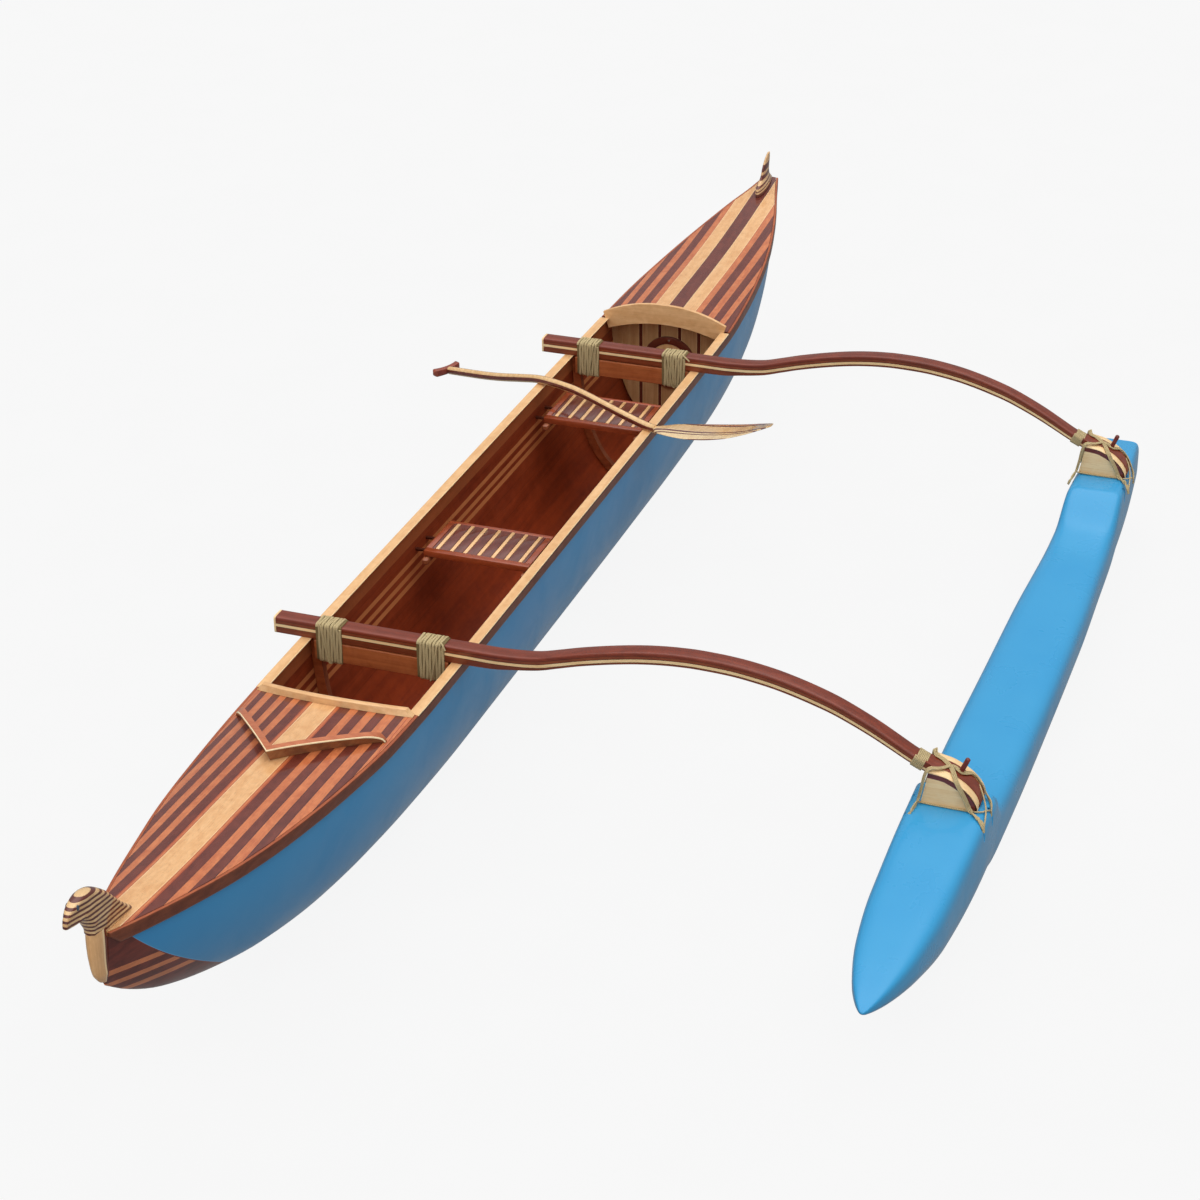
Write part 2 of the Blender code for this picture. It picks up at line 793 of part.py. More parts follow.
def build_splash_guard(home):
    """V-shaped splash guard on the bow deck, its point forward and its ends tapered off."""
    run = math.hypot(GUARD_POINT_X - GUARD_END_X, GUARD_END_Y)
    inward = GUARD_WIDE * run / GUARD_END_Y
    rings = []
    for v in (-1.0, -0.97, -0.92, -0.82, -0.66, -0.5, -0.33, -0.16, 0.0,
              0.16, 0.33, 0.5, 0.66, 0.82, 0.92, 0.97, 1.0):
        out = abs(v)
        y = v * GUARD_END_Y
        fore = GUARD_POINT_X - (GUARD_POINT_X - GUARD_END_X) * out
        aft = fore - inward * min(1.0, 0.35 + 8.0 * (1.0 - out))
        tall = (GUARD_TALL - GUARD_TAPER * out) * min(1.0, 0.12 + 7.0 * (1.0 - out))
        low_fore = deck_top(fore - GUARD_LEAN, y) + 3 * GAP
        low_aft = deck_top(aft, y) + 3 * GAP
        rings.append([
            (fore - GUARD_LEAN, y, low_fore),
            (fore, y, low_fore + tall - 0.003),
            (fore - 0.004, y, low_fore + tall),
            (aft + 0.002, y, low_fore + tall),
            (aft, y, low_aft + 0.8 * tall),
            (aft, y, low_aft),
        ])
    return loft("splash_guard", rings, "orange", home)


def build_stem(home):
    """Light rounded band over the stem."""
    back = HULL_BOW_X + GAP
    rings = []
    for z, front in STEM:
        half = STEM_HALF - 0.35 * max(STEM_NARROWS - z, 0.0)
        ring = []
        for k in range(9):
            angle = math.pi * k / 8
            reach = max(math.sin(angle), 0.0) ** 0.8
            ring.append((back + (front - back) * reach, half * math.cos(angle), z))
        rings.append(ring)
    return loft("stem_band", rings, "maple", home)


def build_head(home):
    """Bird's head figure: its outline narrowed towards both cheeks, its foot on the deck."""
    middle = Vector((np.mean([p[0] for p in HEAD]), np.mean([p[1] for p in HEAD])))
    rings = []
    for y, share in HEAD_CHEEKS:
        ring = []
        for point in HEAD:
            x, z = middle + (Vector(point) - middle) * share
            foot = sheer(x) + crown(x) if x < HULL_BOW_X else STEM_TOP
            ring.append((x, y, max(z, foot + HEAD_CLEAR)))
        rings.append(ring)
    return loft("bird_head", rings, "maple", home)


def build_tail(home):
    """Thin upright tail piece on the stern deck."""
    rings = []
    for aft, fore, z, half in TAIL:
        ring = []
        for k in range(TAIL_SEGMENTS):
            angle = 2.0 * math.pi * k / TAIL_SEGMENTS
            x = 0.5 * (aft + fore) + 0.5 * (fore - aft) * math.cos(angle)
            ring.append((x, half * math.sin(angle), z))
        rings.append(ring)
    foot = [(x, y, deck_top(x, y) + TAIL_CLEAR) for x, y, _ in rings[0]]
    return loft("tail_piece", [foot] + rings, "mahogany", home)


def bulkhead_outline(near, far):
    """Outline of a bulkhead that fits the shell's inside at both of its faces."""
    top = sheer(near) - BULKHEAD_BELOW_EDGE
    low = keel(far) + KEEL_SKIN + BULKHEAD_SKIN + GAP
    outline = []
    for k in range(-9, 10):
        share = math.sin(0.5 * math.pi * k / 9)
        z = low + (top - low) * abs(share) ** 1.6
        half = min(inner_half(near, z, BULKHEAD_SKIN), inner_half(far, z, BULKHEAD_SKIN))
        outline.append((math.copysign(half, k) if k else 0.0, z))
    return outline


def build_bulkheads(home, cutters):
    """A bulkhead with a round hatch at each end of the cockpit."""
    for end, word in ((1, "bow"), (-1, "stern")):
        near = end * BULKHEAD_X
        far = near + end * BULKHEAD_THICK
        low, high = sorted((near, far))
        name = f"{word}_bulkhead"
        wall = as_mesh(plate(name, bulkhead_outline(near, far), low, high, ACROSS_X, "maple", home))
        ends = ((near - end * 0.03, 0.0, HATCH_Z), (far + end * 0.03, 0.0, HATCH_Z))
        cut(wall, rod(f"{word}_hatch_hole", ends, HATCH_HOLE, ROUND_SIDES, "maple", cutters))
        front = near - end * GAP
        build_ring(f"{word}_hatch_ring", front, -end, home)
        ends = ((front - end * COVER_PROUD, 0.0, HATCH_Z), (near + end * COVER_DEEP, 0.0, HATCH_Z))
        rod(f"{word}_hatch_cover", ends, COVER_RADIUS, ROUND_SIDES, "maple", home)


def build_ring(name, x, facing, home):
    """Round wooden ring on a bulkhead, turned from its profile: radius, height."""
    profile = (
        (RING_OUTER - RING_ROUND, RING_THICK),
        (RING_OUTER, RING_THICK - RING_ROUND),
        (RING_OUTER, 0.0),
        (RING_INNER, 0.0),
        (RING_INNER, RING_THICK - RING_ROUND),
        (RING_INNER + 0.7 * RING_ROUND, RING_THICK),
    )
    points = [(radius, 0.0, height) for radius, height in profile]
    edges = [(k, (k + 1) % len(points)) for k in range(len(points))]
    mesh = bpy.data.meshes.new(name)
    mesh.from_pydata(points, edges, [])
    made = link(name, mesh, "mahogany", home)
    screw = made.modifiers.new("turned", "SCREW")
    screw.axis = "Z"
    screw.steps = ROUND_SIDES
    screw.render_steps = ROUND_SIDES
    screw.use_merge_vertices = True
    screw.merge_threshold = MERGE
    made.rotation_euler = (0.0, math.radians(90) * facing, 0.0)
    made.location = (x, 0.0, HATCH_Z)
    return made


def build_frames(home):
    """A laminated rib round the inside of the shell under each iako, and its brace board."""
    for word, x in IAKOS:
        near = x - 0.5 * IAKO_WIDE + FRAME_AHEAD
        far = near + FRAME_THICK
        top = sheer(0.5 * (near + far)) - DECK_THICK - 0.003
        lines = []
        for skin in (FRAME_SKIN, FRAME_SKIN + FRAME_DEEP):
            low = max(keel(near), keel(far)) + KEEL_SKIN + skin
            line = []
            for k in range(-12, 13):
                share = math.sin(0.5 * math.pi * abs(k) / 12) ** 1.6
                z = low + (top - low) * share
                half = min(inner_half(near, z, skin), inner_half(far, z, skin))
                line.append((math.copysign(half, k) if k else 0.0, z))
            lines.append(line)
        outline = lines[0] + lines[1][::-1]
        plate(f"{word}_frame", outline, near, far, ACROSS_X, "mahogany", home)
        low = (far + GAP, -BRACE_HALF, BRACE_LOW)
        high = (far + GAP + BRACE_THICK, BRACE_HALF, BRACE_HIGH)
        soften(board(f"{word}_brace", low, high, "orange", home), 0.003)


def iako_row(y):
    """Place, height, depth and direction of an iako at y."""
    ys = [row[0] for row in IAKO]
    top = float(np.interp(y, ys, [row[1] for row in IAKO]))
    deep = float(np.interp(y, ys, [row[2] for row in IAKO]))
    run = float(np.interp(y, ys, [direction(IAKO, i)[0] for i in range(len(IAKO))]))
    rise = float(np.interp(y, ys, [direction(IAKO, i)[1] for i in range(len(IAKO))]))
    return (y, top, deep, run, rise)


def iako_section(x, row, grow):
    """Rounded rectangle across an iako at one row of its path, grown all round."""
    y, top, deep, run, rise = row
    half = 0.5 * IAKO_WIDE + grow
    tall = 0.5 * deep + grow
    corner = IAKO_CORNER + grow
    middle = Vector((x, y + rise * 0.5 * deep, top - run * 0.5 * deep))
    points = []
    for a, b, start in ((1, -1, 270), (1, 1, 0), (-1, 1, 90), (-1, -1, 180)):
        for step in (0, 45, 90):
            angle = math.radians(start + step)
            across = a * (half - corner) + corner * math.cos(angle)
            up = b * (tall - corner) + corner * math.sin(angle)
            points.append(tuple(middle + Vector((across, -rise * up, run * up))))
    return points


def build_iakos(home):
    """Both crossbeams, with their whipping, saddle block, band and peg at the ama."""
    for word, x in IAKOS:
        rings = [iako_section(x, iako_row(row[0]), 0.0) for row in IAKO]
        loft(f"{word}_iako", rings, "mahogany", home)
        inner = [iako_section(x, iako_row(y), WHIPPING_CLEAR) for y in WHIPPING_YS]
        grown = WHIPPING_CLEAR + WHIPPING_THICK
        outer = [iako_section(x, iako_row(y), grown) for y in WHIPPING_YS]
        hoop(f"{word}_whipping", outer, inner, "cord", home)
        name = f"{word}_saddle_block"
        low, high = x - BLOCK_HALF, x + BLOCK_HALF
        soften(as_mesh(plate(name, BLOCK, low, high, ACROSS_X, "maple", home)), BLOCK_ROUND)
        low, high = x + BAND_AHEAD - 0.5 * BAND_WIDE, x + BAND_AHEAD + 0.5 * BAND_WIDE
        plate(f"{word}_ama_lashing", band_outline(), low, high, ACROSS_X, "cord", home)
        ends = ((x - PEG_AFT, PEG_Y, PEG_LOW), (x - PEG_AFT, PEG_Y, PEG_HIGH))
        soften(rod(f"{word}_peg", ends, PEG_RADIUS, 12, "red_peg", home), 0.002)


def offset_path(line, distance):
    """A path moved sideways, to the left of its run, by one distance at every segment."""
    moved = []
    for i in range(len(line)):
        normals = []
        for a, b in ((i - 1, i), (i, i + 1)):
            if a >= 0 and b < len(line):
                along = (Vector(line[b]) - Vector(line[a])).normalized()
                normals.append(Vector((-along.y, along.x)))
        normal = sum(normals, Vector((0.0, 0.0))) / len(normals)
        moved.append(tuple(Vector(line[i]) + normal * (distance / normal.length_squared)))
    return moved


def band_outline():
    """Band of cord over the saddle block, from one side of the pad to the other, seen along X."""
    line = [(BAND_INNER_FOOT_Y, PAD_Z + GAP), BLOCK[0]] + list(reversed(BLOCK[3:]))
    line += [(BAND_OUTER_FOOT_Y[0], PAD_Z + 4 * GAP), (BAND_OUTER_FOOT_Y[1], PAD_Z + GAP)]
    return offset_path(line, BAND_CLEAR) + offset_path(line, BAND_CLEAR + BAND_THICK)[::-1]


def build_hull_lashings(home):
    """Four wide lashings, each round an iako and the brace board below it."""
    for word, x in IAKOS:
        near = x - 0.5 * IAKO_WIDE - CORD_CLEAR
        far = x - 0.5 * IAKO_WIDE + FRAME_AHEAD + FRAME_THICK + GAP + BRACE_THICK + CORD_CLEAR
        low = BRACE_LOW - CORD_CLEAR
        high = IAKO[0][1] + CORD_CLEAR
        for side, start, end in LASHING_ENDS:
            rings = []
            for grow in (CORD, 0.0):
                corners = (
                    (near - grow, low - grow),
                    (far + grow, low - grow),
                    (far + grow, high + grow),
                    (near - grow, high + grow),
                )
                rings.append([[(cx, y, cz) for cx, cz in corners] for y in (start, end)])
            hoop(f"{word}_lashing_{side}", rings[0], rings[1], "cord", home)


def build_ama(home):
    """The float: rounded below, flat on top, with a raised pad under each block."""
    rings = []
    for x in sorted([row[0] for row in AMA] + list(AMA_EXTRA_X)):
        half, top, low, share, upper_power = (smooth(AMA, column, x) for column in range(1, 6))
        wide = low + (top - low) * share
        ring = []
        for k in range(AMA_SEGMENTS):
            angle = 2.0 * math.pi * k / AMA_SEGMENTS
            up = math.sin(angle)
            power = 2.0 / (upper_power if up > 0 else AMA_LOWER_POWER)
            reach = (top - wide) if up > 0 else (wide - low)
            y = AMA_Y + half * signed_power(math.cos(angle), power)
            ring.append((x, y, wide + reach * signed_power(up, power)))
        rings.append(ring)
    return loft("ama", rings, "blue", home)


def build_seats(home):
    """Two flat seats, each on a pair of cleats along the hull's sides."""
    for word, aft, fore in SEATS:
        low = (aft, -SEAT_HALF, SEAT_TOP - SEAT_THICK)
        high = (fore, SEAT_HALF, SEAT_TOP)
        soften(board(f"{word}_seat", low, high, "mahogany", home), 0.004)
        top = SEAT_TOP - SEAT_THICK - GAP
        low = top - CLEAT_THICK
        start = aft - CLEAT_PAST
        end = fore + CLEAT_PAST
        reach = min(inner_half(start, low, DECK_INSET), inner_half(end, low, DECK_INSET))
        for side, name in ((1, "port"), (-1, "starboard")):
            outline = [(start, side * reach), (end, side * reach)]
            for x, turn in ((end - CLEAT_ROUND, 1), (start + CLEAT_ROUND, -1)):
                steps = (0, 1, 2, 3) if turn > 0 else (3, 2, 1, 0)
                for k in steps:
                    angle = math.radians(30 * k)
                    y = CLEAT_INNER_Y + CLEAT_ROUND * (1.0 - math.sin(angle))
                    outline.append((x + turn * CLEAT_ROUND * math.cos(angle), side * y))
            plate(f"{word}_cleat_{name}", outline, low, top, LYING, "mahogany", home)


def paddle_point(along, across, z):
    """World point at a distance along the paddle and across it."""
    x = PADDLE_FROM[0] + PADDLE_ALONG[0] * along + PADDLE_ALONG[1] * across
    y = PADDLE_FROM[1] + PADDLE_ALONG[1] * along - PADDLE_ALONG[0] * across
    return (x, y, z)


def build_shaft(home):
    """The bent shaft, laid across the gunwale caps before the rear iako."""
    curve = bpy.data.curves.new("paddle_shaft", "CURVE")
    curve.dimensions = "3D"
    curve.bevel_depth = SHAFT_RADIUS
    curve.bevel_resolution = 4
    curve.use_fill_caps = True
    spline = curve.splines.new("POLY")
    spline.points.add(len(SHAFT) - 1)
    for point, (along, z) in zip(spline.points, SHAFT):
        point.co = (*paddle_point(along, 0.0, z), 1.0)
    return link("paddle_shaft", curve, "maple", home)


def build_blade(home):
    """The blade, a thin leaf that goes on from the shaft's end."""
    rings = []
    for i, (distance, height, half, thick) in enumerate(BLADE):
        run, rise = direction(BLADE, i) if i else direction(SHAFT, len(SHAFT) - 1)
        ring = []
        for k in range(BLADE_SEGMENTS):
            angle = 2.0 * math.pi * k / BLADE_SEGMENTS
            across = half * signed_power(math.cos(angle), BLADE_EDGE)
            lift = 0.5 * thick * math.sin(angle)
            ring.append(paddle_point(distance - rise * lift, across, height + run * lift))
        rings.append(ring)
    return loft("paddle_blade", rings, "maple", home)


def build_grip(home):
    """The T grip across the shaft's inboard end."""
    along = SHAFT[0][0] - GRIP_RADIUS
    ends = [paddle_point(along, side * GRIP_HALF, GRIP_Z) for side in (-1, 1)]
    return soften(rod("paddle_grip", ends, GRIP_RADIUS, 16, "maple", home), GRIP_ROUND)


def carry(home, cutters):
    """Parents every piece to one empty, which puts the footprint's middle at the origin."""
    root = bpy.data.objects.new("canoe", None)
    root.location = (-FOOTPRINT_CENTRE[0], -FOOTPRINT_CENTRE[1], 0.0)
    for piece in list(home.objects) + list(cutters.objects):
        piece.parent = root
    home.objects.link(root)


def main():
    """Clears the scene and builds every piece."""
    for old in list(bpy.data.objects):
        bpy.data.objects.remove(old)
    home = bpy.data.collections.new(COLLECTION)
    cutters = bpy.data.collections.new("cutters")
    bpy.context.scene.collection.children.link(home)
    bpy.context.scene.collection.children.link(cutters)
    build_shell(home)
    build_decks(home)
    build_rails(home)
    build_caps(home)
    build_bow_coaming(home)
    build_stern_coaming(home)
    build_splash_guard(home)
    build_stem(home)
    build_head(home)
    build_tail(home)
    build_bulkheads(home, cutters)
    build_frames(home)
    build_iakos(home)
    build_hull_lashings(home)
    build_ama(home)
    build_seats(home)
    build_shaft(home)
    build_blade(home)
    build_grip(home)
    carry(home, cutters)


main()
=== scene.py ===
"""Looks of the outrigger canoe: striped hull and decks, crossbeams, float, seats and paddle.

Metres. Each new piece is drawn about a point on the floor under the hull, midway between the
two crossbeams, and then moved by SHIFT, so a material's object coordinates are that frame too.
"""

from __future__ import annotations

import json
import logging
import math
from bisect import bisect_right
from dataclasses import dataclass
from enum import Enum
from typing import Callable, Optional, Sequence

import bmesh
import bpy
from mathutils import Matrix, Vector, geometry

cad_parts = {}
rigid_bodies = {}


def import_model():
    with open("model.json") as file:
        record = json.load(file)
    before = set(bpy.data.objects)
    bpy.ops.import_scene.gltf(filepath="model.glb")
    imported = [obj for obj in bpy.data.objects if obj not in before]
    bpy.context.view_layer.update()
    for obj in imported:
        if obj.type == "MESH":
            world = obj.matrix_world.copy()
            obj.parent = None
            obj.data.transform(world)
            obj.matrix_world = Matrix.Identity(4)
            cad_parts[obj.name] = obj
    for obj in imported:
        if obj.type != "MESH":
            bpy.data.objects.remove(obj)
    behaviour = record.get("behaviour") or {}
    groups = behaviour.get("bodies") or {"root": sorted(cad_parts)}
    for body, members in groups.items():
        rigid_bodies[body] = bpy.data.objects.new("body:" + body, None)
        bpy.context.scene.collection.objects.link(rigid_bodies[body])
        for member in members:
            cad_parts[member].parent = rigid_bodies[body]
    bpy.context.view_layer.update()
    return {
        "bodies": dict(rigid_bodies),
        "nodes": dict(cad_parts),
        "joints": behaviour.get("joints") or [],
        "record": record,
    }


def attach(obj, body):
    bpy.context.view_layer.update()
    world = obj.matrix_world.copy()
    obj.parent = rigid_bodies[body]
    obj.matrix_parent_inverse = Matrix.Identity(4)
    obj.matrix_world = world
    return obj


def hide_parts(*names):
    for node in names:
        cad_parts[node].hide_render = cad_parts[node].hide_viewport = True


Point = tuple[float, float, float]
Flat = tuple[float, float]
Colour = tuple[float, float, float]
Wood = tuple[Colour, Colour, Colour]
Material = bpy.types.Material
Node = bpy.types.Node
Socket = bpy.types.NodeSocket
Tree = bpy.types.NodeTree

SHIFT = Vector((-0.0635, -0.5486, 0.0))  # from the point drawn about to the part's origin
CANOE = "canoe"  # the body that most pieces move with
GAP = 0.0003  # play between pieces that touch
SIDES = ((1, "port"), (-1, "starboard"))  # the sign of y, and its word
SATIN: dict[str, float] = {"rough": 0.34, "coat": 0.6}  # sheen of most light varnished wood

log = logging.getLogger("canoe")


def tone(red: int, green: int, blue: int) -> Colour:
    """Linear colour of a screen colour given from 0 to 255.

    Args:
        red: from 0 to 255.
        green: likewise.
        blue: likewise.

    Returns:
        Three linear channels.
    """
    def linear(value: float) -> float:
        """One channel, from screen to linear."""
        share = value / 255.0
        return share / 12.92 if share <= 0.04045 else ((share + 0.055) / 1.055) ** 2.4
    return (linear(red), linear(green), linear(blue))


def signed_power(value: float, power: float) -> float:
    """The size of a value raised to a power, with its sign kept."""
    return math.copysign(abs(value) ** power, value) if abs(value) > 1e-9 else 0.0


def ease(low: float, high: float, value: float) -> float:
    """Smooth step from 0 below low to 1 above high."""
    t = min(max((value - low) / (high - low), 0.0), 1.0)
    return t * t * (3.0 - 2.0 * t)


def even(count: int, low: float = -1.0, high: float = 1.0) -> list[float]:
    """Evenly spaced numbers from low to high."""
    return [low + (high - low) * k / (count - 1) for k in range(count)]


def turns(count: int) -> list[float]:
    """Angles of one whole turn in even steps, in radians."""
    return [2.0 * math.pi * k / count for k in range(count)]


def off_stretch(p: Flat, a: Sequence[float], b: Sequence[float]) -> Flat:
    """How a point lies beside a straight stretch.

    Args:
        p: the point.
        a: one end of the stretch; only its first two numbers count.
        b: the other end.

    Returns:
        The distance to the stretch, and which share of it is nearest.
    """
    run = (b[0] - a[0], b[1] - a[1])
    square = run[0] ** 2 + run[1] ** 2 or 1e-12
    t = min(max(((p[0] - a[0]) * run[0] + (p[1] - a[1]) * run[1]) / square, 0.0), 1.0)
    return math.hypot(p[0] - a[0] - t * run[0], p[1] - a[1] - t * run[1]), t


def drawn_aside(line: Sequence[Flat], i: int, step: float) -> Flat:
    """A point of a flat line moved to the line's right.

    Args:
        line: the line's points.
        i: which of them moves.
        step: how far.

    Returns:
        The moved point.
    """
    a, b = line[max(i - 1, 0)], line[min(i + 1, len(line) - 1)]
    size = math.dist(a, b)
    return (line[i][0] + step * (b[1] - a[1]) / size, line[i][1] - step * (b[0] - a[0]) / size)


def rounded_box(near: float, far: float, low: float, high: float, r: float,
                corner: Sequence[float]) -> list[Flat]:
    """Flat rectangle with round corners.

    Args:
        near: its lowest first coordinate.
        far: its highest first coordinate.
        low: its lowest second coordinate.
        high: its highest second coordinate.
        r: radius of its corners.
        corner: degrees at which each corner has a point, from 0 to 90.

    Returns:
        Its points, from the far high corner through the near high one.
    """
    centres = ((far - r, high - r), (near + r, high - r), (near + r, low + r), (far - r, low + r))
    points = []
    for quarter, (cx, cz) in enumerate(centres):
        for step in corner:
            a = math.radians(90 * quarter + step)
            points.append((cx + r * math.cos(a), cz + r * math.sin(a)))
    return points


class Fair:
    """Monotone cubic curve through a table's first column and one other."""

    def __init__(self, table: Sequence[Sequence[float]], column: int = 1) -> None:
        """Works out the slope at each row.

        Args:
            table: rows whose first column rises.
            column: the column that the curve gives.
        """
        self.xs = [row[0] for row in table]
        self.ys = [row[column] for row in table]
        steps = [b - a for a, b in zip(self.xs, self.xs[1:])]
        slopes = [(b - a) / s for a, b, s in zip(self.ys, self.ys[1:], steps)]
        self.steps = steps
        self.tangents = [slopes[0]] + [0.0] * (len(slopes) - 1) + [slopes[-1]]
        for i in range(1, len(slopes)):
            if slopes[i - 1] * slopes[i] > 0:
                before = 2 * steps[i] + steps[i - 1]
                after = steps[i] + 2 * steps[i - 1]
                mean = (before / slopes[i - 1] + after / slopes[i])
                self.tangents[i] = (before + after) / mean

    def __call__(self, at: float) -> float:
        """The curve's value at one place.

        Args:
            at: a place in the first column's span.

        Returns:
            The value, held at both ends.
        """
        i = min(max(bisect_right(self.xs, at) - 1, 0), len(self.steps) - 1)
        t = min(max((at - self.xs[i]) / self.steps[i], 0.0), 1.0)
        return (
            (2 * t**3 - 3 * t**2 + 1) * self.ys[i]
            + (t**3 - 2 * t**2 + t) * self.steps[i] * self.tangents[i]
            + (3 * t**2 - 2 * t**3) * self.ys[i + 1]
            + (t**3 - t**2) * self.steps[i] * self.tangents[i + 1]
        )


@dataclass
class HullForm:
    """Shape of the planked hull, from which every piece on it takes its place.

    Each row of stations holds x, half-breadth outside the rub rail, height of the deck's
    edge, height of the keel, the power of the section's curve, and how far the deck's middle
    rises over its edge.
    """

    bow_x: float = 2.770
    stern_x: float = -2.790
    rail_thick: float = 0.009
    deck_thick: float = 0.012
    wall: float = 0.009
    keel_skin: float = 0.011
    stations: tuple[tuple[float, ...], ...] = (
        (-2.800, 0.0290, 0.6215, 0.440, 1.72, 0.0014),
        (-2.684, 0.0590, 0.6020, 0.367, 1.75, 0.0035),
        (-2.552, 0.0970, 0.5850, 0.292, 1.81, 0.0061),
        (-2.420, 0.1305, 0.5670, 0.224, 1.86, 0.0085),
        (-2.200, 0.1765, 0.5430, 0.140, 2.06, 0.0117),
        (-1.980, 0.2085, 0.5270, 0.083, 2.20, 0.0139),
        (-1.720, 0.2345, 0.5145, 0.043, 2.20, 0.0158),
        (-1.452, 0.2485, 0.5040, 0.020, 2.16, 0.0167),
        (-1.200, 0.2515, 0.5030, 0.006, 2.12, 0.0169),
        (-0.880, 0.2540, 0.5030, 0.000, 2.11, 0.0171),
        (-0.300, 0.2550, 0.5030, 0.000, 2.13, 0.0172),
        (0.300, 0.2550, 0.5030, 0.000, 2.12, 0.0200),
        (0.880, 0.2548, 0.5025, 0.000, 2.11, 0.0240),
        (1.320, 0.2525, 0.5015, 0.022, 2.15, 0.0270),
        (1.588, 0.2455, 0.5040, 0.043, 2.14, 0.0306),
        (1.837, 0.2262, 0.5150, 0.068, 2.11, 0.0327),
        (2.108, 0.1940, 0.5330, 0.119, 1.98, 0.0276),
        (2.314, 0.1555, 0.5490, 0.184, 1.83, 0.0211),
        (2.526, 0.1050, 0.5755, 0.278, 1.70, 0.0108),
        (2.684, 0.0590, 0.5975, 0.379, 1.69, 0.0051),
        (2.772, 0.0305, 0.6110, 0.451, 1.68, 0.0024),
    )

    def __post_init__(self) -> None:
        """Fairs the five columns once."""
        self.wide = Fair(self.stations, 1)
        self.sheer = Fair(self.stations, 2)
        self.keel = Fair(self.stations, 3)
        self.power = Fair(self.stations, 4)
        self.crown = Fair(self.stations, 5)

    def breadth(self, x: float) -> float:
        """Half-breadth of the planked shell at its top edge."""
        return self.wide(x) - self.rail_thick - GAP

    def top(self, x: float) -> float:
        """Height of the planking's top edge, under the deck or cap."""
        return self.sheer(x) - self.deck_thick - GAP

    def section(self, x: float, wall: float, floor: float, count: int) -> list[Point]:
        """Section of the shell from the port edge round the keel to starboard.

        Args:
            x: the station.
            wall: how far inside the outer skin at the sides.
            floor: how far above the outer keel.
            count: segments of the whole section.

        Returns:
            count + 1 points.
        """
        half = self.breadth(x) - wall
        top = self.top(x)
        low = self.keel(x) + floor
        power = 2.0 / self.power(x)
        points = []
        for k in range(count + 1):
            angle = math.pi * k / count
            y = half * signed_power(math.cos(angle), power)
            points.append((x, y, top - (top - low) * max(math.sin(angle), 0.0) ** power))
        return points

    def inner_half(self, x: float, z: float, skin: float) -> float:
        """Half-breadth inside the shell at a height, less a skin.

        Args:
            x: the station.
            z: the height.
            skin: how far further in.

        Returns:
            The half-breadth.
        """
        half = self.breadth(x) - self.wall - skin
        top = self.top(x)
        low = self.keel(x) + self.keel_skin + skin
        power = self.power(x)
        share = min(max((top - z) / (top - low), 0.0), 1.0)
        return half * (1.0 - share**power) ** (1.0 / power)

    def deck_top(self, x: float, y: float) -> float:
        """Height of the deck's upper face."""
        v = min(abs(y) / self.breadth(x), 1.0)
        return self.sheer(x) + self.crown(x) * (1.0 - v * v)


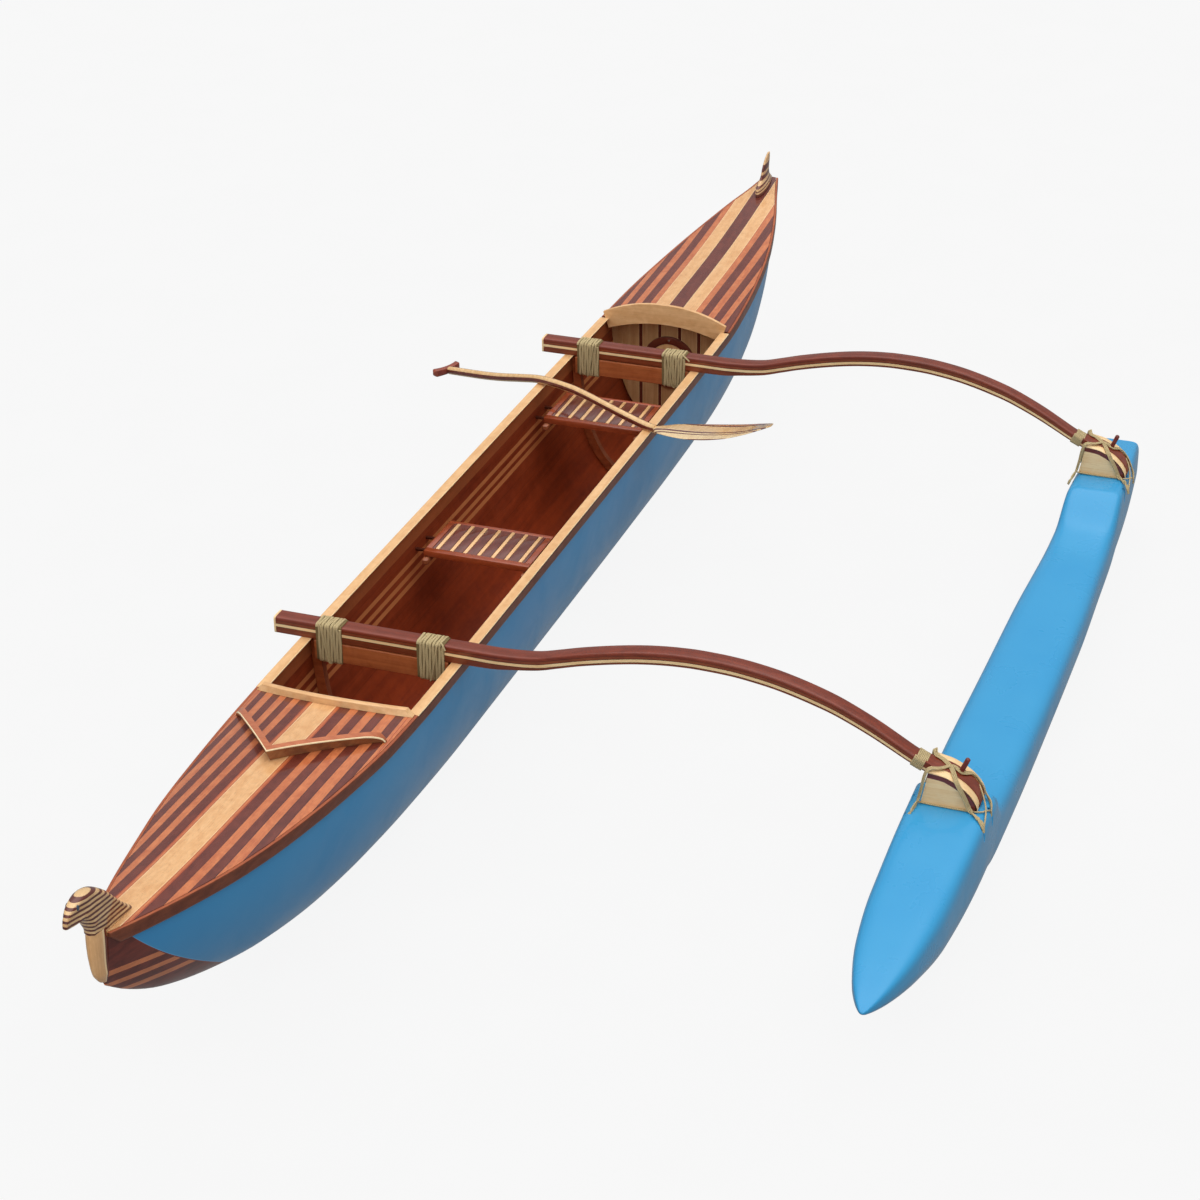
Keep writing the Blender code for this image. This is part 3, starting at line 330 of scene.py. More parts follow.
class Skin:
    """Points, faces, marks and finish numbers of one piece while it is made."""

    def __init__(self, name: str) -> None:
        """Starts an empty piece.

        Args:
            name: the piece's name in the scene.
        """
        self.name = name
        self.points: list[Point] = []
        self.faces: list[tuple[int, ...]] = []
        self.marks: list[tuple[Flat, ...]] = []
        self.finishes: list[int] = []

    def face(self, corners: Sequence[int], finish: int = 0,
             marks: Optional[Sequence[Flat]] = None) -> None:
        """Adds one face.

        Args:
            corners: numbers of its points.
            finish: which of the piece's materials it wears.
            marks: two flat coordinates for each corner.
        """
        self.faces.append(tuple(corners))
        self.finishes.append(finish)
        self.marks.append(tuple(marks) if marks else tuple((0.0, 0.0) for _ in corners))

    def rows(self, rings: Sequence[Sequence[Point]], closed: bool = True, finish: int = 0,
             caps: bool = True, finish_at: Optional[Callable[[int, int], int]] = None,
             cap_finish: Optional[int] = None) -> Skin:
        """Adds a loft through rings of equally many points.

        Args:
            rings: the rings, in order along the piece.
            closed: whether a ring's last point joins its first.
            finish: which material its faces wear.
            caps: whether the two end rings are closed by a face.
            finish_at: gives the material of the face at a row and a column.
            cap_finish: the material of the two end faces.

        Returns:
            The piece, so that make can follow.
        """
        start = len(self.points)
        size = len(rings[0])
        for ring in rings:
            self.points += [tuple(p) for p in ring]
        runs = [0.0]
        for a, b in zip(rings, rings[1:]):
            steps = [(Vector(p) - Vector(q)).length for p, q in zip(a[::4], b[::4])]
            runs.append(runs[-1] + sum(steps) / len(steps))
        around = [0.0]
        middle = rings[len(rings) // 2]
        for j in range(size if closed else size - 1):
            step = (Vector(middle[(j + 1) % size]) - Vector(middle[j])).length
            around.append(around[-1] + step)
        for i in range(len(rings) - 1):
            a = start + i * size
            for j in range(size if closed else size - 1):
                k = (j + 1) % size
                marks = ((runs[i], around[j]), (runs[i], around[j + 1]),
                         (runs[i + 1], around[j + 1]), (runs[i + 1], around[j]))
                kind = finish_at(i, j) if finish_at else finish
                self.face((a + j, a + k, a + size + k, a + size + j), kind, marks)
        if caps and closed:
            kind = finish if cap_finish is None else cap_finish
            last = start + (len(rings) - 1) * size
            self.face(range(start, start + size), kind)
            self.face(range(last, last + size), kind)
        return self

    def make(self, materials: Sequence[Material], stands_for: Sequence[str] = (),
             body: str = CANOE, slot: str = "", crease: float = 34.0,
             soft: float = 0.0) -> bpy.types.Object:
        """Welds the piece, places it and ties it to its body.

        Args:
            materials: the finishes that its faces number.
            stands_for: solids that it replaces.
            body: the body that it moves with.
            slot: the record's material slot; not used.
            crease: degrees over which an edge stays sharp.
            soft: width of a bevel on its sharp edges.

        Returns:
            The finished object.
        """
        mesh = bpy.data.meshes.new(self.name)
        mesh.from_pydata(self.points, [], self.faces)
        layer = mesh.uv_layers.new(name="run")
        flat = [mark for marks in self.marks for mark in marks]
        for spot, mark in zip(layer.data, flat):
            spot.uv = mark
        for polygon, finish in zip(mesh.polygons, self.finishes):
            polygon.material_index = finish
        work = bmesh.new()
        work.from_mesh(mesh)
        bmesh.ops.remove_doubles(work, verts=work.verts, dist=0.00001)
        bmesh.ops.recalc_face_normals(work, faces=work.faces)
        work.to_mesh(mesh)
        work.free()
        mesh.shade_smooth()
        mesh.set_sharp_from_angle(angle=math.radians(crease))
        for material in materials:
            mesh.materials.append(material)
        made = bpy.data.objects.new(self.name, mesh)
        bpy.context.scene.collection.objects.link(made)
        made.location = SHIFT
        if soft > 0.0:
            bevel = made.modifiers.new("soft edges", "BEVEL")
            bevel.width = soft
            bevel.segments = 2
            bevel.limit_method = "ANGLE"
            bevel.angle_limit = math.radians(crease)
            bevel.harden_normals = True
        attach(made, body)
        if stands_for:
            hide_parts(*stands_for)
        log.info("%s: %d faces", self.name, len(mesh.polygons))
        return made


def faired_path(line: Sequence[Point], count: int) -> list[Vector]:
    """Even points along a smooth curve through a few.

    Args:
        line: the points that it passes.
        count: how many points come back.

    Returns:
        The points, equally far apart.
    """
    anchors = [Vector(p) for p in line]
    ends = [2 * anchors[0] - anchors[1]] + anchors + [2 * anchors[-1] - anchors[-2]]
    dense: list[Vector] = []
    for a, b, c, d in zip(ends, ends[1:], ends[2:], ends[3:]):
        for k in range(12):
            t = k / 12
            dense.append(0.5 * ((2 * b) + (c - a) * t + (2 * a - 5 * b + 4 * c - d) * t * t
                                + (3 * b - a - 3 * c + d) * t * t * t))
    dense.append(anchors[-1])
    runs = [0.0]
    for a, b in zip(dense, dense[1:]):
        runs.append(runs[-1] + (b - a).length)
    points = []
    i = 0
    for k in range(count):
        want = runs[-1] * k / (count - 1)
        while i < len(runs) - 2 and runs[i + 1] < want:
            i += 1
        share = (want - runs[i]) / max(runs[i + 1] - runs[i], 1e-9)
        points.append(dense[i].lerp(dense[i + 1], share))
    return points


def tube_rings(path: Sequence[Vector], radius: float, sides: int = 8, flat: float = 1.0,
               aside: Optional[Vector] = None) -> list[list[Point]]:
    """Rings round a path, for a cord or a round bar.

    Args:
        path: the middle line.
        radius: half its width.
        sides: points in each ring.
        flat: its thickness as a share of its width.
        aside: the way that its width lies, or none to carry it along the path.

    Returns:
        One ring for each point of the path.
    """
    rings = []
    side = (path[1] - path[0]).normalized().orthogonal().normalized()
    for i, p in enumerate(path):
        along = (path[min(i + 1, len(path) - 1)] - path[max(i - 1, 0)]).normalized()
        side = side if aside is None else aside
        side = (side - along * side.dot(along)).normalized()
        rise = side.cross(along)
        ring = []
        for angle in turns(sides):
            ring.append(tuple(p + side * (radius * math.cos(angle))
                              + rise * (radius * flat * math.sin(angle))))
        rings.append(ring)
    return rings


class Grain(Enum):
    """Which way a board's grain runs, as the turn that brings it onto X."""

    FORE_AND_AFT = (0.0, 0.0, 0.0)
    ACROSS = (0.0, 0.0, -90.0)
    UPRIGHT = (0.0, 90.0, 0.0)
    BY_MARKS = (0.0, 0.0, 0.001)


class Graph:
    """A node tree with short ways to add the nodes that the finishes need."""

    def __init__(self, tree: Tree) -> None:
        """Keeps the tree.

        Args:
            tree: the material's or group's nodes.
        """
        self.tree = tree

    def add(self, kind: str, **settings: object) -> Node:
        """Adds a node and sets its properties.

        Args:
            kind: the node's type.
            settings: its properties by name.

        Returns:
            The node.
        """
        node = self.tree.nodes.new(kind)
        for name, value in settings.items():
            setattr(node, name, value)
        return node

    def feed(self, socket: Socket, value: object) -> None:
        """Links a socket to another, or sets its own value.

        Args:
            socket: an input.
            value: an output, or a number, colour or vector.
        """
        if isinstance(value, Socket):
            self.tree.links.new(value, socket)
        elif isinstance(value, tuple) and len(value) == 3 and socket.type == "RGBA":
            socket.default_value = (*value, 1.0)
        else:
            socket.default_value = value

    def sum(self, operation: str, *values: object, clamp: bool = False) -> Socket:
        """A Math node of numbers or sockets.

        Args:
            operation: what it works out.
            values: its inputs in order.
            clamp: whether the result stays from 0 to 1.

        Returns:
            Its output.
        """
        node = self.add("ShaderNodeMath", operation=operation, use_clamp=clamp)
        for socket, value in zip(node.inputs, values):
            self.feed(socket, value)
        return node.outputs[0]

    def blend(self, share: object, first: object, second: object,
              kind: str = "MIX") -> Socket:
        """A mix of two colours.

        Args:
            share: how much of the second.
            first: a colour or socket.
            second: a colour or socket.
            kind: how they mix.

        Returns:
            The colour.
        """
        node = self.add("ShaderNodeMix", data_type="RGBA", blend_type=kind)
        self.feed(node.inputs[0], share)
        self.feed(node.inputs[6], first)
        self.feed(node.inputs[7], second)
        return node.outputs[2]

    def between(self, value: object, low: float, high: float, to_low: float = 0.0,
                to_high: float = 1.0) -> Socket:
        """A value taken from one range to another, and held inside it.

        Args:
            value: a number or socket.
            low: the first range's start.
            high: its end.
            to_low: what low becomes.
            to_high: what high becomes.

        Returns:
            The number.
        """
        node = self.add("ShaderNodeMapRange")
        for socket, item in zip(node.inputs, (value, low, high, to_low, to_high)):
            self.feed(socket, item)
        return node.outputs[0]

    def noise(self, vector: object, scale: float, detail: float = 2.0,
              rough: float = 0.5, bend: float = 0.0) -> Socket:
        """A noise texture's value.

        Args:
            vector: the coordinates.
            scale: how fine it is.
            detail: how many finer layers it has.
            rough: how strong those are.
            bend: how far it is warped.

        Returns:
            The value.
        """
        node = self.add("ShaderNodeTexNoise")
        self.feed(node.inputs["Vector"], vector)
        node.inputs["Scale"].default_value = scale
        node.inputs["Detail"].default_value = detail
        node.inputs["Roughness"].default_value = rough
        node.inputs["Distortion"].default_value = bend
        return node.outputs[0]

    def stretched(self, vector: object, along: object, across: object) -> Socket:
        """A vector whose first axis is scaled by one number and the others by another.

        Args:
            vector: the coordinates.
            along: scale of the first axis.
            across: scale of the others.

        Returns:
            The vector.
        """
        scale = self.add("ShaderNodeCombineXYZ")
        for socket, value in zip(scale.inputs, (along, across, across)):
            self.feed(socket, value)
        node = self.add("ShaderNodeVectorMath", operation="MULTIPLY")
        self.feed(node.inputs[0], vector)
        self.feed(node.inputs[1], scale.outputs[0])
        return node.outputs[0]

    def steps(self, value: object, stops: Sequence[tuple[float, Colour]],
              sharp: bool = True) -> Socket:
        """Colours that change at given values from 0 to 1.

        Args:
            value: the place on the scale.
            stops: where each colour starts, in rising order.
            sharp: whether each colour holds to the next stop.

        Returns:
            The colour socket.
        """
        node = self.add("ShaderNodeValToRGB")
        node.color_ramp.interpolation = "CONSTANT" if sharp else "LINEAR"
        marks = node.color_ramp.elements
        while len(marks) < len(stops):
            marks.new(1.0)
        for mark, (place, colour) in zip(marks, stops):
            mark.position = place
            mark.color = (*colour, 1.0)
        self.feed(node.inputs[0], value)
        return node.outputs[0]

    def curve(self, value: object, points: Sequence[Flat]) -> Socket:
        """A curve through points, each from 0 to 1.

        Args:
            value: the place along it.
            points: what it passes through.

        Returns:
            The height there.
        """
        node = self.add("ShaderNodeFloatCurve")
        line = node.mapping.curves[0]
        while len(line.points) < len(points):
            line.points.new(0.5, 0.5)
        for point, place in zip(line.points, points):
            point.location = place
        node.mapping.update()
        self.feed(node.inputs["Value"], value)
        return node.outputs[0]


def node_group(name: str, inputs: Sequence[tuple[str, str, float]],
               outputs: Sequence[str]) -> tuple[Graph, Node, Node]:
    """Starts a shader node group with named sockets.

    Args:
        name: the group's name.
        inputs: each input's name, socket type and default.
        outputs: the names of its number outputs.

    Returns:
        Its graph, its input node and its output node.
    """
    tree = bpy.data.node_groups.new(name, "ShaderNodeTree")
    for label, kind, value in inputs:
        socket = tree.interface.new_socket(name=label, in_out="INPUT", socket_type=kind)
        if kind == "NodeSocketFloat":
            socket.default_value = value
    for label in outputs:
        tree.interface.new_socket(name=label, in_out="OUTPUT", socket_type="NodeSocketFloat")
    graph = Graph(tree)
    return graph, graph.add("NodeGroupInput"), graph.add("NodeGroupOutput")


def timber_figure() -> Tree:
    """Figure of planed wood, whose grain runs along the vector's X.

    Returns:
        The group: growth rings, cloudy mottle across them, and open pores.
    """
    number = "NodeSocketFloat"
    graph, given, out = node_group("timber_figure", (
        ("Vector", "NodeSocketVector", 0.0), ("Along", number, 1.2), ("Across", number, 34.0),
        ("Rings", number, 5.0)), ("Figure", "Mottle", "Pores"))
    vector, along, across, rings = given.outputs[:4]
    run = graph.stretched(vector, along, across)
    rough = graph.noise(run, 1.0, 3.0, 0.55, 0.4)
    lines = graph.sum("PINGPONG", graph.sum("MULTIPLY", rough, rings), 1.0)
    graph.feed(out.inputs["Figure"], lines)
    cloud = graph.noise(graph.stretched(vector, 26.0, 34.0), 1.0, 2.0, 0.6, 0.6)
    graph.feed(out.inputs["Mottle"], cloud)
    fine = graph.noise(graph.stretched(vector, 22.0, 900.0), 1.0, 2.0, 0.6)
    graph.feed(out.inputs["Pores"], graph.between(fine, 0.54, 0.72))
    return graph.tree


def edge_wear() -> Tree:
    """Rubbed edges: the sharp outward corners of a piece, broken up by noise.

    Returns:
        The group: a mask.
    """
    graph, given, out = node_group("edge_wear", (
        ("Vector", "NodeSocketVector", 0.0), ("Amount", "NodeSocketFloat", 0.5)), ("Mask",))
    corner = graph.add("ShaderNodeNewGeometry").outputs["Pointiness"]
    edge = graph.between(corner, 0.53, 0.64)
    patchy = graph.between(graph.noise(given.outputs[0], 60.0, 3.0), 0.3, 0.7)
    worn = graph.sum("MULTIPLY", edge, patchy)
    graph.feed(out.inputs["Mask"], graph.sum("MULTIPLY", worn, given.outputs[1], clamp=True))
    return graph.tree


def hand_marks() -> Tree:
    """Faint smears and dust that change how glossy a varnish is.

    Returns:
        The group: a mask.
    """
    graph, given, out = node_group("hand_marks", (
        ("Vector", "NodeSocketVector", 0.0), ("Size", "NodeSocketFloat", 6.0)), ("Mask",))
    wide = graph.noise(graph.stretched(given.outputs[0], given.outputs[1], given.outputs[1]),
                       1.0, 4.0, 0.6, 0.5)
    graph.feed(out.inputs["Mask"], graph.between(wide, 0.42, 0.75))
    return graph.tree


def cord_twist() -> Tree:
    """Strands of a laid cord; the vector's X runs along it and its Y round it, in metres.

    Returns:
        The group: height of the strands, and loose fibres between them.
    """
    graph, given, out = node_group("cord_twist", (
        ("Vector", "NodeSocketVector", 0.0), ("Lay", "NodeSocketFloat", 900.0)),
        ("Height", "Fibres"))
    place = graph.add("ShaderNodeSeparateXYZ")
    graph.feed(place.inputs[0], given.outputs[0])
    slope = graph.sum("ADD", place.outputs[0], graph.sum("MULTIPLY", place.outputs[1], 1.6))
    wave = graph.sum("SINE", graph.sum("MULTIPLY", slope, given.outputs[1]))
    graph.feed(out.inputs["Height"], graph.between(wave, -1.0, 1.0))
    fibres = graph.noise(graph.stretched(given.outputs[0], 500.0, 2400.0), 1.0, 2.0)
    graph.feed(out.inputs["Fibres"], fibres)
    return graph.tree


class Effects:
    """The shared groups, each made once."""

    kept: dict[str, Tree] = {}

    @classmethod
    def place(cls, graph: Graph, maker: Callable[[], Tree],
              **values: object) -> Node:
        """Puts a group into a material.

        Args:
            graph: the material's nodes.
            maker: the function that makes the group.
            values: its inputs by name.

        Returns:
            The group's node.
        """
        name = maker.__name__
        if name not in cls.kept:
            cls.kept[name] = maker()
        node = graph.add("ShaderNodeGroup", node_tree=cls.kept[name])
        for label, value in values.items():
            graph.feed(node.inputs[label], value)
        return node


@dataclass(frozen=True)
class Finish:
    """What every finish has: a name, and how its top coat shines."""

    name: str
    rough: float = 0.42
    coat: float = 0.4
    coat_rough: float = 0.06
    shine: float = 0.22

    def make(self) -> Material:
        """Builds the material: its top coat here, all else in dress.

        Returns:
            The material.
        """
        made = bpy.data.materials.new(self.name)
        made.use_nodes = True
        shader = made.node_tree.nodes["Principled BSDF"]
        shader.inputs["Coat Weight"].default_value = self.coat
        shader.inputs["Coat Roughness"].default_value = self.coat_rough
        shader.inputs["Specular IOR Level"].default_value = self.shine
        self.dress(Graph(made.node_tree), shader)
        return made

    def dress(self, graph: Graph, shader: Node) -> None:
        """Feeds the shader; each kind of finish has its own way."""
        raise NotImplementedError

    def place(self, graph: Graph, grain: Grain, solid: bool) -> Socket:
        """The coordinates that its figure follows.

        Args:
            graph: the material's nodes.
            grain: which way the grain runs.
            solid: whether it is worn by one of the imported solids, which aren't moved by SHIFT.

        Returns:
            The vector, with the grain along X.
        """
        coordinates = graph.add("ShaderNodeTexCoord")
        turn = graph.add("ShaderNodeMapping")
        kind = "UV" if grain is Grain.BY_MARKS else "Object"
        graph.feed(turn.inputs["Vector"], coordinates.outputs[kind])
        if solid:
            turn.inputs["Location"].default_value = -SHIFT
        spin = graph.add("ShaderNodeMapping")
        graph.feed(spin.inputs["Vector"], turn.outputs[0])
        spin.inputs["Rotation"].default_value = [math.radians(a) for a in grain.value]
        return spin.outputs[0]

    def settle(self, graph: Graph, shader: Node, colour: object, relief: object,
               depth: float, marks: object) -> None:
        """Links colour, roughness and relief to the shader.

        Args:
            graph: the material's nodes.
            shader: its Principled shader.
            colour: what feeds Base Color.
            relief: what feeds the bump's height.
            depth: how deep the bump is, in metres.
            marks: a mask that makes the surface less glossy.
        """
        graph.feed(shader.inputs["Base Color"], colour)
        span = graph.between(marks, 0.0, 1.0, self.rough - 0.05, self.rough + 0.14)
        graph.feed(shader.inputs["Roughness"], span)
        bump = graph.add("ShaderNodeBump")
        bump.inputs["Strength"].default_value = 0.6
        bump.inputs["Distance"].default_value = depth
        graph.feed(bump.inputs["Height"], relief)
        graph.feed(shader.inputs["Normal"], bump.outputs[0])


@dataclass(frozen=True)
class Timber(Finish):
    """Varnished wood of one kind."""

    light: Colour = (0.8, 0.6, 0.4)
    dark: Colour = (0.6, 0.4, 0.2)
    pores: Colour = (0.4, 0.25, 0.12)
    grain: Grain = Grain.FORE_AND_AFT
    along: float = 1.6
    across: float = 34.0
    rings: float = 5.0
    mottle: float = 0.35
    wear: float = 0.5
    solid: bool = False

    def varnish(self, graph: Graph, shader: Node, vector: object, colour: object,
                figure: Node, smear: float, depth: float = 0.0002) -> None:
        """Settles the colour under a varnish that dips into the pores.

        Args:
            graph: the material's nodes.
            shader: its Principled shader.
            vector: the coordinates of the smears.
            colour: what feeds Base Color.
            figure: the figure's node.
            smear: how many smears there are along a metre.
            depth: how deep the pores are, in metres.
        """
        smears = Effects.place(graph, hand_marks, Vector=vector, Size=smear)
        relief = graph.sum("SUBTRACT", 1.0, figure.outputs["Pores"])
        self.settle(graph, shader, colour, relief, depth, smears.outputs[0])

    def figured(self, graph: Graph, vector: object, light: object,
                dark: object) -> tuple[Socket, Node]:
        """Light and dark wood mixed by the figure, with pores.

        Args:
            graph: the material's nodes.
            vector: the coordinates, with the grain along X.
            light: the light colour or socket.
            dark: the dark colour or socket.

        Returns:
            The colour and the figure's node.
        """
        figure = Effects.place(graph, timber_figure, Vector=vector, Along=self.along,
                               Across=self.across, Rings=self.rings)
        cloud = graph.between(figure.outputs["Mottle"], 0.35, 0.65, 0.0, self.mottle)
        share = graph.sum("ADD", graph.sum("MULTIPLY", figure.outputs["Figure"],
                                           1.0 - self.mottle), cloud, clamp=True)
        colour = graph.blend(share, light, dark)
        open_pores = graph.sum("MULTIPLY", figure.outputs["Pores"], 0.35)
        return graph.blend(open_pores, colour, self.pores), figure

    def dress(self, graph: Graph, shader: Node) -> None:
        """Feeds the shader: figured wood with rubbed edges.

        Args:
            graph: the material's nodes.
            shader: its Principled shader.
        """
        vector = self.place(graph, self.grain, self.solid)
        colour, figure = self.figured(graph, vector, self.light, self.dark)
        worn = Effects.place(graph, edge_wear, Vector=vector, Amount=self.wear)
        pale = tuple(min(1.0, c * 1.25 + 0.02) for c in self.light)
        colour = graph.blend(worn.outputs[0], colour, pale)
        self.varnish(graph, shader, vector, colour, figure, 9.0)


@dataclass(frozen=True)
class Strips(Timber):
    """Woods side by side, told by their distance along one axis.

    Each band is where it ends along the axis, and the name of its wood.
    """

    bands: tuple[tuple[float, str], ...] = ()
    woods: tuple[tuple[str, Colour, Colour], ...] = ()
    axis: Point = (0.0, 1.0, 0.0)
    start: float = 0.0
    both_sides: bool = True

    def dress(self, graph: Graph, shader: Node) -> None:
        """Feeds the shader, with a step of colour at the end of each band.

        Args:
            graph: the material's nodes.
            shader: its Principled shader.
        """
        vector = self.place(graph, self.grain, self.solid)
        reach = graph.add("ShaderNodeVectorMath", operation="DOT_PRODUCT")
        graph.feed(reach.inputs[0], self.place(graph, Grain.FORE_AND_AFT, self.solid))
        reach.inputs[1].default_value = self.axis
        value = graph.sum("SUBTRACT", reach.outputs["Value"], self.start)
        if self.both_sides:
            value = graph.sum("ABSOLUTE", value)
        span = self.bands[-1][0]
        share = graph.sum("DIVIDE", value, span)
        light, dark, shift = [], [], []
        tones = {name: (a, b) for name, a, b in self.woods}
        start = 0.0
        for number, (end, name) in enumerate(self.bands):
            light.append((start / span, tones[name][0]))
            dark.append((start / span, tones[name][1]))
            shift.append((start / span, ((number * 0.37) % 1.0,) * 3))
            start = end
        moved = graph.add("ShaderNodeVectorMath", operation="ADD")
        graph.feed(moved.inputs[0], vector)
        offset = graph.add("ShaderNodeVectorMath", operation="SCALE")
        graph.feed(offset.inputs[0], graph.steps(share, shift))
        offset.inputs["Scale"].default_value = 7.0
        graph.feed(moved.inputs[1], offset.outputs[0])
        colour, figure = self.figured(graph, moved.outputs[0], graph.steps(share, light),
                                      graph.steps(share, dark))
        self.varnish(graph, shader, vector, colour, figure, 5.0)


@dataclass(frozen=True)
class Laminate(Timber):
    """Thin layers glued one over another, told by their distance along a slanted axis."""

    axis: Point = (0.0, 0.0, 1.0)
    start: float = 0.0
    pitch: float = 0.012
    dark_share: float = 0.38
    layer: Colour = (0.1, 0.03, 0.02)
    layer_dark: Colour = (0.06, 0.02, 0.012)

    def dress(self, graph: Graph, shader: Node) -> None:
        """Feeds the shader: layers told by their height.

        Args:
            graph: the material's nodes.
            shader: its Principled shader.
        """
        vector = self.place(graph, self.grain, self.solid)
        plain = graph.add("ShaderNodeTexCoord").outputs["Object"]
        height = graph.add("ShaderNodeVectorMath", operation="DOT_PRODUCT")
        graph.feed(height.inputs[0], plain)
        height.inputs[1].default_value = self.axis
        wander = graph.between(graph.noise(plain, 24.0, 1.0), 0.3, 0.7, -0.0006, 0.0006)
        rise = graph.sum("ADD", graph.sum("SUBTRACT", height.outputs["Value"], self.start), wander)
        turn = graph.sum("FRACT", graph.sum("DIVIDE", rise, self.pitch))
        step = graph.between(turn, self.dark_share - 0.03, self.dark_share + 0.03)
        seam = graph.between(turn, 0.96, 1.0)
        pale = graph.sum("SUBTRACT", step, seam)
        colour, figure = self.figured(graph, vector, self.light, self.dark)
        layer = graph.blend(figure.outputs["Figure"], self.layer, self.layer_dark)
        colour = graph.blend(pale, layer, colour)
        self.varnish(graph, shader, vector, colour, figure, 12.0)


@dataclass(frozen=True)
class Enamel(Finish):
    """Glossy paint, with fine orange peel and a little fading."""

    colour: Colour = (0.1, 0.3, 0.6)
    faded: Colour = (0.15, 0.35, 0.62)
    peel_deep: float = 0.00004

    def coat_of_paint(self, graph: Graph, vector: object) -> tuple[object, object]:
        """The paint's colour and relief.

        Args:
            graph: the material's nodes.
            vector: object coordinates.

        Returns:
            The colour and a height.
        """
        patch = graph.between(graph.noise(vector, 2.2, 3.0, 0.6), 0.35, 0.7)
        colour = graph.blend(patch, self.colour, self.faded)
        return colour, graph.noise(vector, 90.0, 1.0)

    def dress(self, graph: Graph, shader: Node) -> None:
        """Feeds the shader: paint alone.

        Args:
            graph: the material's nodes.
            shader: its Principled shader.
        """
        vector = self.place(graph, Grain.FORE_AND_AFT, False)
        colour, peel = self.coat_of_paint(graph, vector)
        smears = Effects.place(graph, hand_marks, Vector=vector, Size=4.0)
        self.settle(graph, shader, colour, peel, self.peel_deep, smears.outputs[0])


@dataclass(frozen=True)
class HullOutside(Enamel):
    """The hull's outside: blue paint that gives way to striped wood at both feet, with a painted
    highlight just above the paint's lower edge.

    The edge's rows hold the distance from amidships and the height of the paint's lower edge.
    """

    wood: Colour = (0.1, 0.03, 0.02)
    wood_dark: Colour = (0.06, 0.02, 0.01)
    strip: Colour = (0.6, 0.3, 0.15)
    line: Colour = (0.2, 0.08, 0.05)
    # Lighter blue for a painted highlight just above the paint's lower edge.
    painted_edge_highlight: Colour = (0.2, 0.45, 0.7)
    edge: tuple[Flat, ...] = (
        (2.180, 0.1150), (2.200, 0.1350), (2.2216, 0.1520), (2.4362, 0.3115), (2.5117, 0.3716),
        (2.5872, 0.4376), (2.6627, 0.5142), (2.7104, 0.5713), (2.740, 0.6100), (2.800, 0.6900),
    )
    strips: tuple[Flat, ...] = ((0.117, 0.1335), (0.157, 0.172), (0.195, 0.211))

    def dress(self, graph: Graph, shader: Node) -> None:
        """Feeds the shader: paint over striped wood.

        Args:
            graph: the material's nodes.
            shader: its Principled shader.
        """
        vector = self.place(graph, Grain.FORE_AND_AFT, False)
        paint, peel = self.coat_of_paint(graph, vector)
        place = graph.add("ShaderNodeSeparateXYZ")
        graph.feed(place.inputs[0], vector)
        reach = graph.sum("ABSOLUTE", place.outputs[0])
        low, high, tall = self.edge[0][0], self.edge[-1][0], 0.8
        points = [((x - low) / (high - low), z / tall) for x, z in self.edge]
        line = graph.curve(graph.between(reach, low, high), points)
        over = graph.sum("SUBTRACT", place.outputs[2], graph.sum("MULTIPLY", line, tall))
        over = graph.sum("ADD", over, graph.between(reach, low - 0.05, low, 1.0, 0.0))
        figure = Effects.place(graph, timber_figure, Vector=vector, Along=1.6, Across=40.0,
                               Rings=5.0)
        wood = graph.blend(figure.outputs["Figure"], self.wood, self.wood_dark)
        fall = graph.sum("MULTIPLY", graph.sum("SUBTRACT", 2.77, reach), 0.25)
        depth = graph.sum("SUBTRACT", graph.sum("SUBTRACT", 0.611, fall), place.outputs[2])
        for start, end in self.strips:
            inside = graph.sum("MULTIPLY", graph.sum("GREATER_THAN", depth, start),
                               graph.sum("LESS_THAN", depth, end))
            pale = graph.blend(figure.outputs["Figure"], self.strip,
                               tuple(0.8 * c for c in self.strip))
            wood = graph.blend(inside, wood, pale)
        # Painted highlight: the paint turns lighter blue in a band just above its lower edge.
        paint = graph.blend(graph.between(over, 0.0015, 0.0055, 1.0, 0.0), paint, self.painted_edge_highlight)
        colour = graph.blend(graph.sum("GREATER_THAN", over, 0.0), wood, paint)
        thin = graph.sum("COMPARE", over, 0.0, 0.0016)
        colour = graph.blend(thin, colour, self.line)
        smears = Effects.place(graph, hand_marks, Vector=vector, Size=4.0)
        self.settle(graph, shader, colour, peel, self.peel_deep, smears.outputs[0])


@dataclass(frozen=True)
class HullInside(Timber):
    """The hull's inside: dark planks with three lighter ones and a lighter top edge."""

    pale: Colour = (0.3, 0.12, 0.06)
    warm: Colour = (0.2, 0.06, 0.02)
    strips: tuple[float, ...] = (0.3176, 0.3465, 0.3807)
    half: float = 0.008
    band: float = 0.435

    def dress(self, graph: Graph, shader: Node) -> None:
        """Feeds the shader: planks and lighter strips.

        Args:
            graph: the material's nodes.
            shader: its Principled shader.
        """
        vector = self.place(graph, self.grain, False)
        place = graph.add("ShaderNodeSeparateXYZ")
        graph.feed(place.inputs[0], vector)
        height = place.outputs[2]
        low = graph.between(height, 0.10, 0.30, 1.0, 0.0)
        base = graph.blend(low, self.light, self.warm)
        colour, figure = self.figured(graph, vector, base, self.dark)
        for middle in self.strips:
            inside = graph.sum("COMPARE", height, middle, self.half)
            colour = graph.blend(graph.sum("MULTIPLY", inside, 0.85), colour, self.pale)
        top = graph.sum("MULTIPLY", graph.sum("GREATER_THAN", height, self.band), 0.35)
        colour = graph.blend(top, colour, self.pale)
        for plank in (0.20, 0.235, 0.27, 0.415, self.band):
            seam = graph.sum("COMPARE", height, plank, 0.0008)
            colour = graph.blend(graph.sum("MULTIPLY", seam, 0.5), colour, self.pores)
        self.varnish(graph, shader, vector, colour, figure, 5.0, 0.0003)


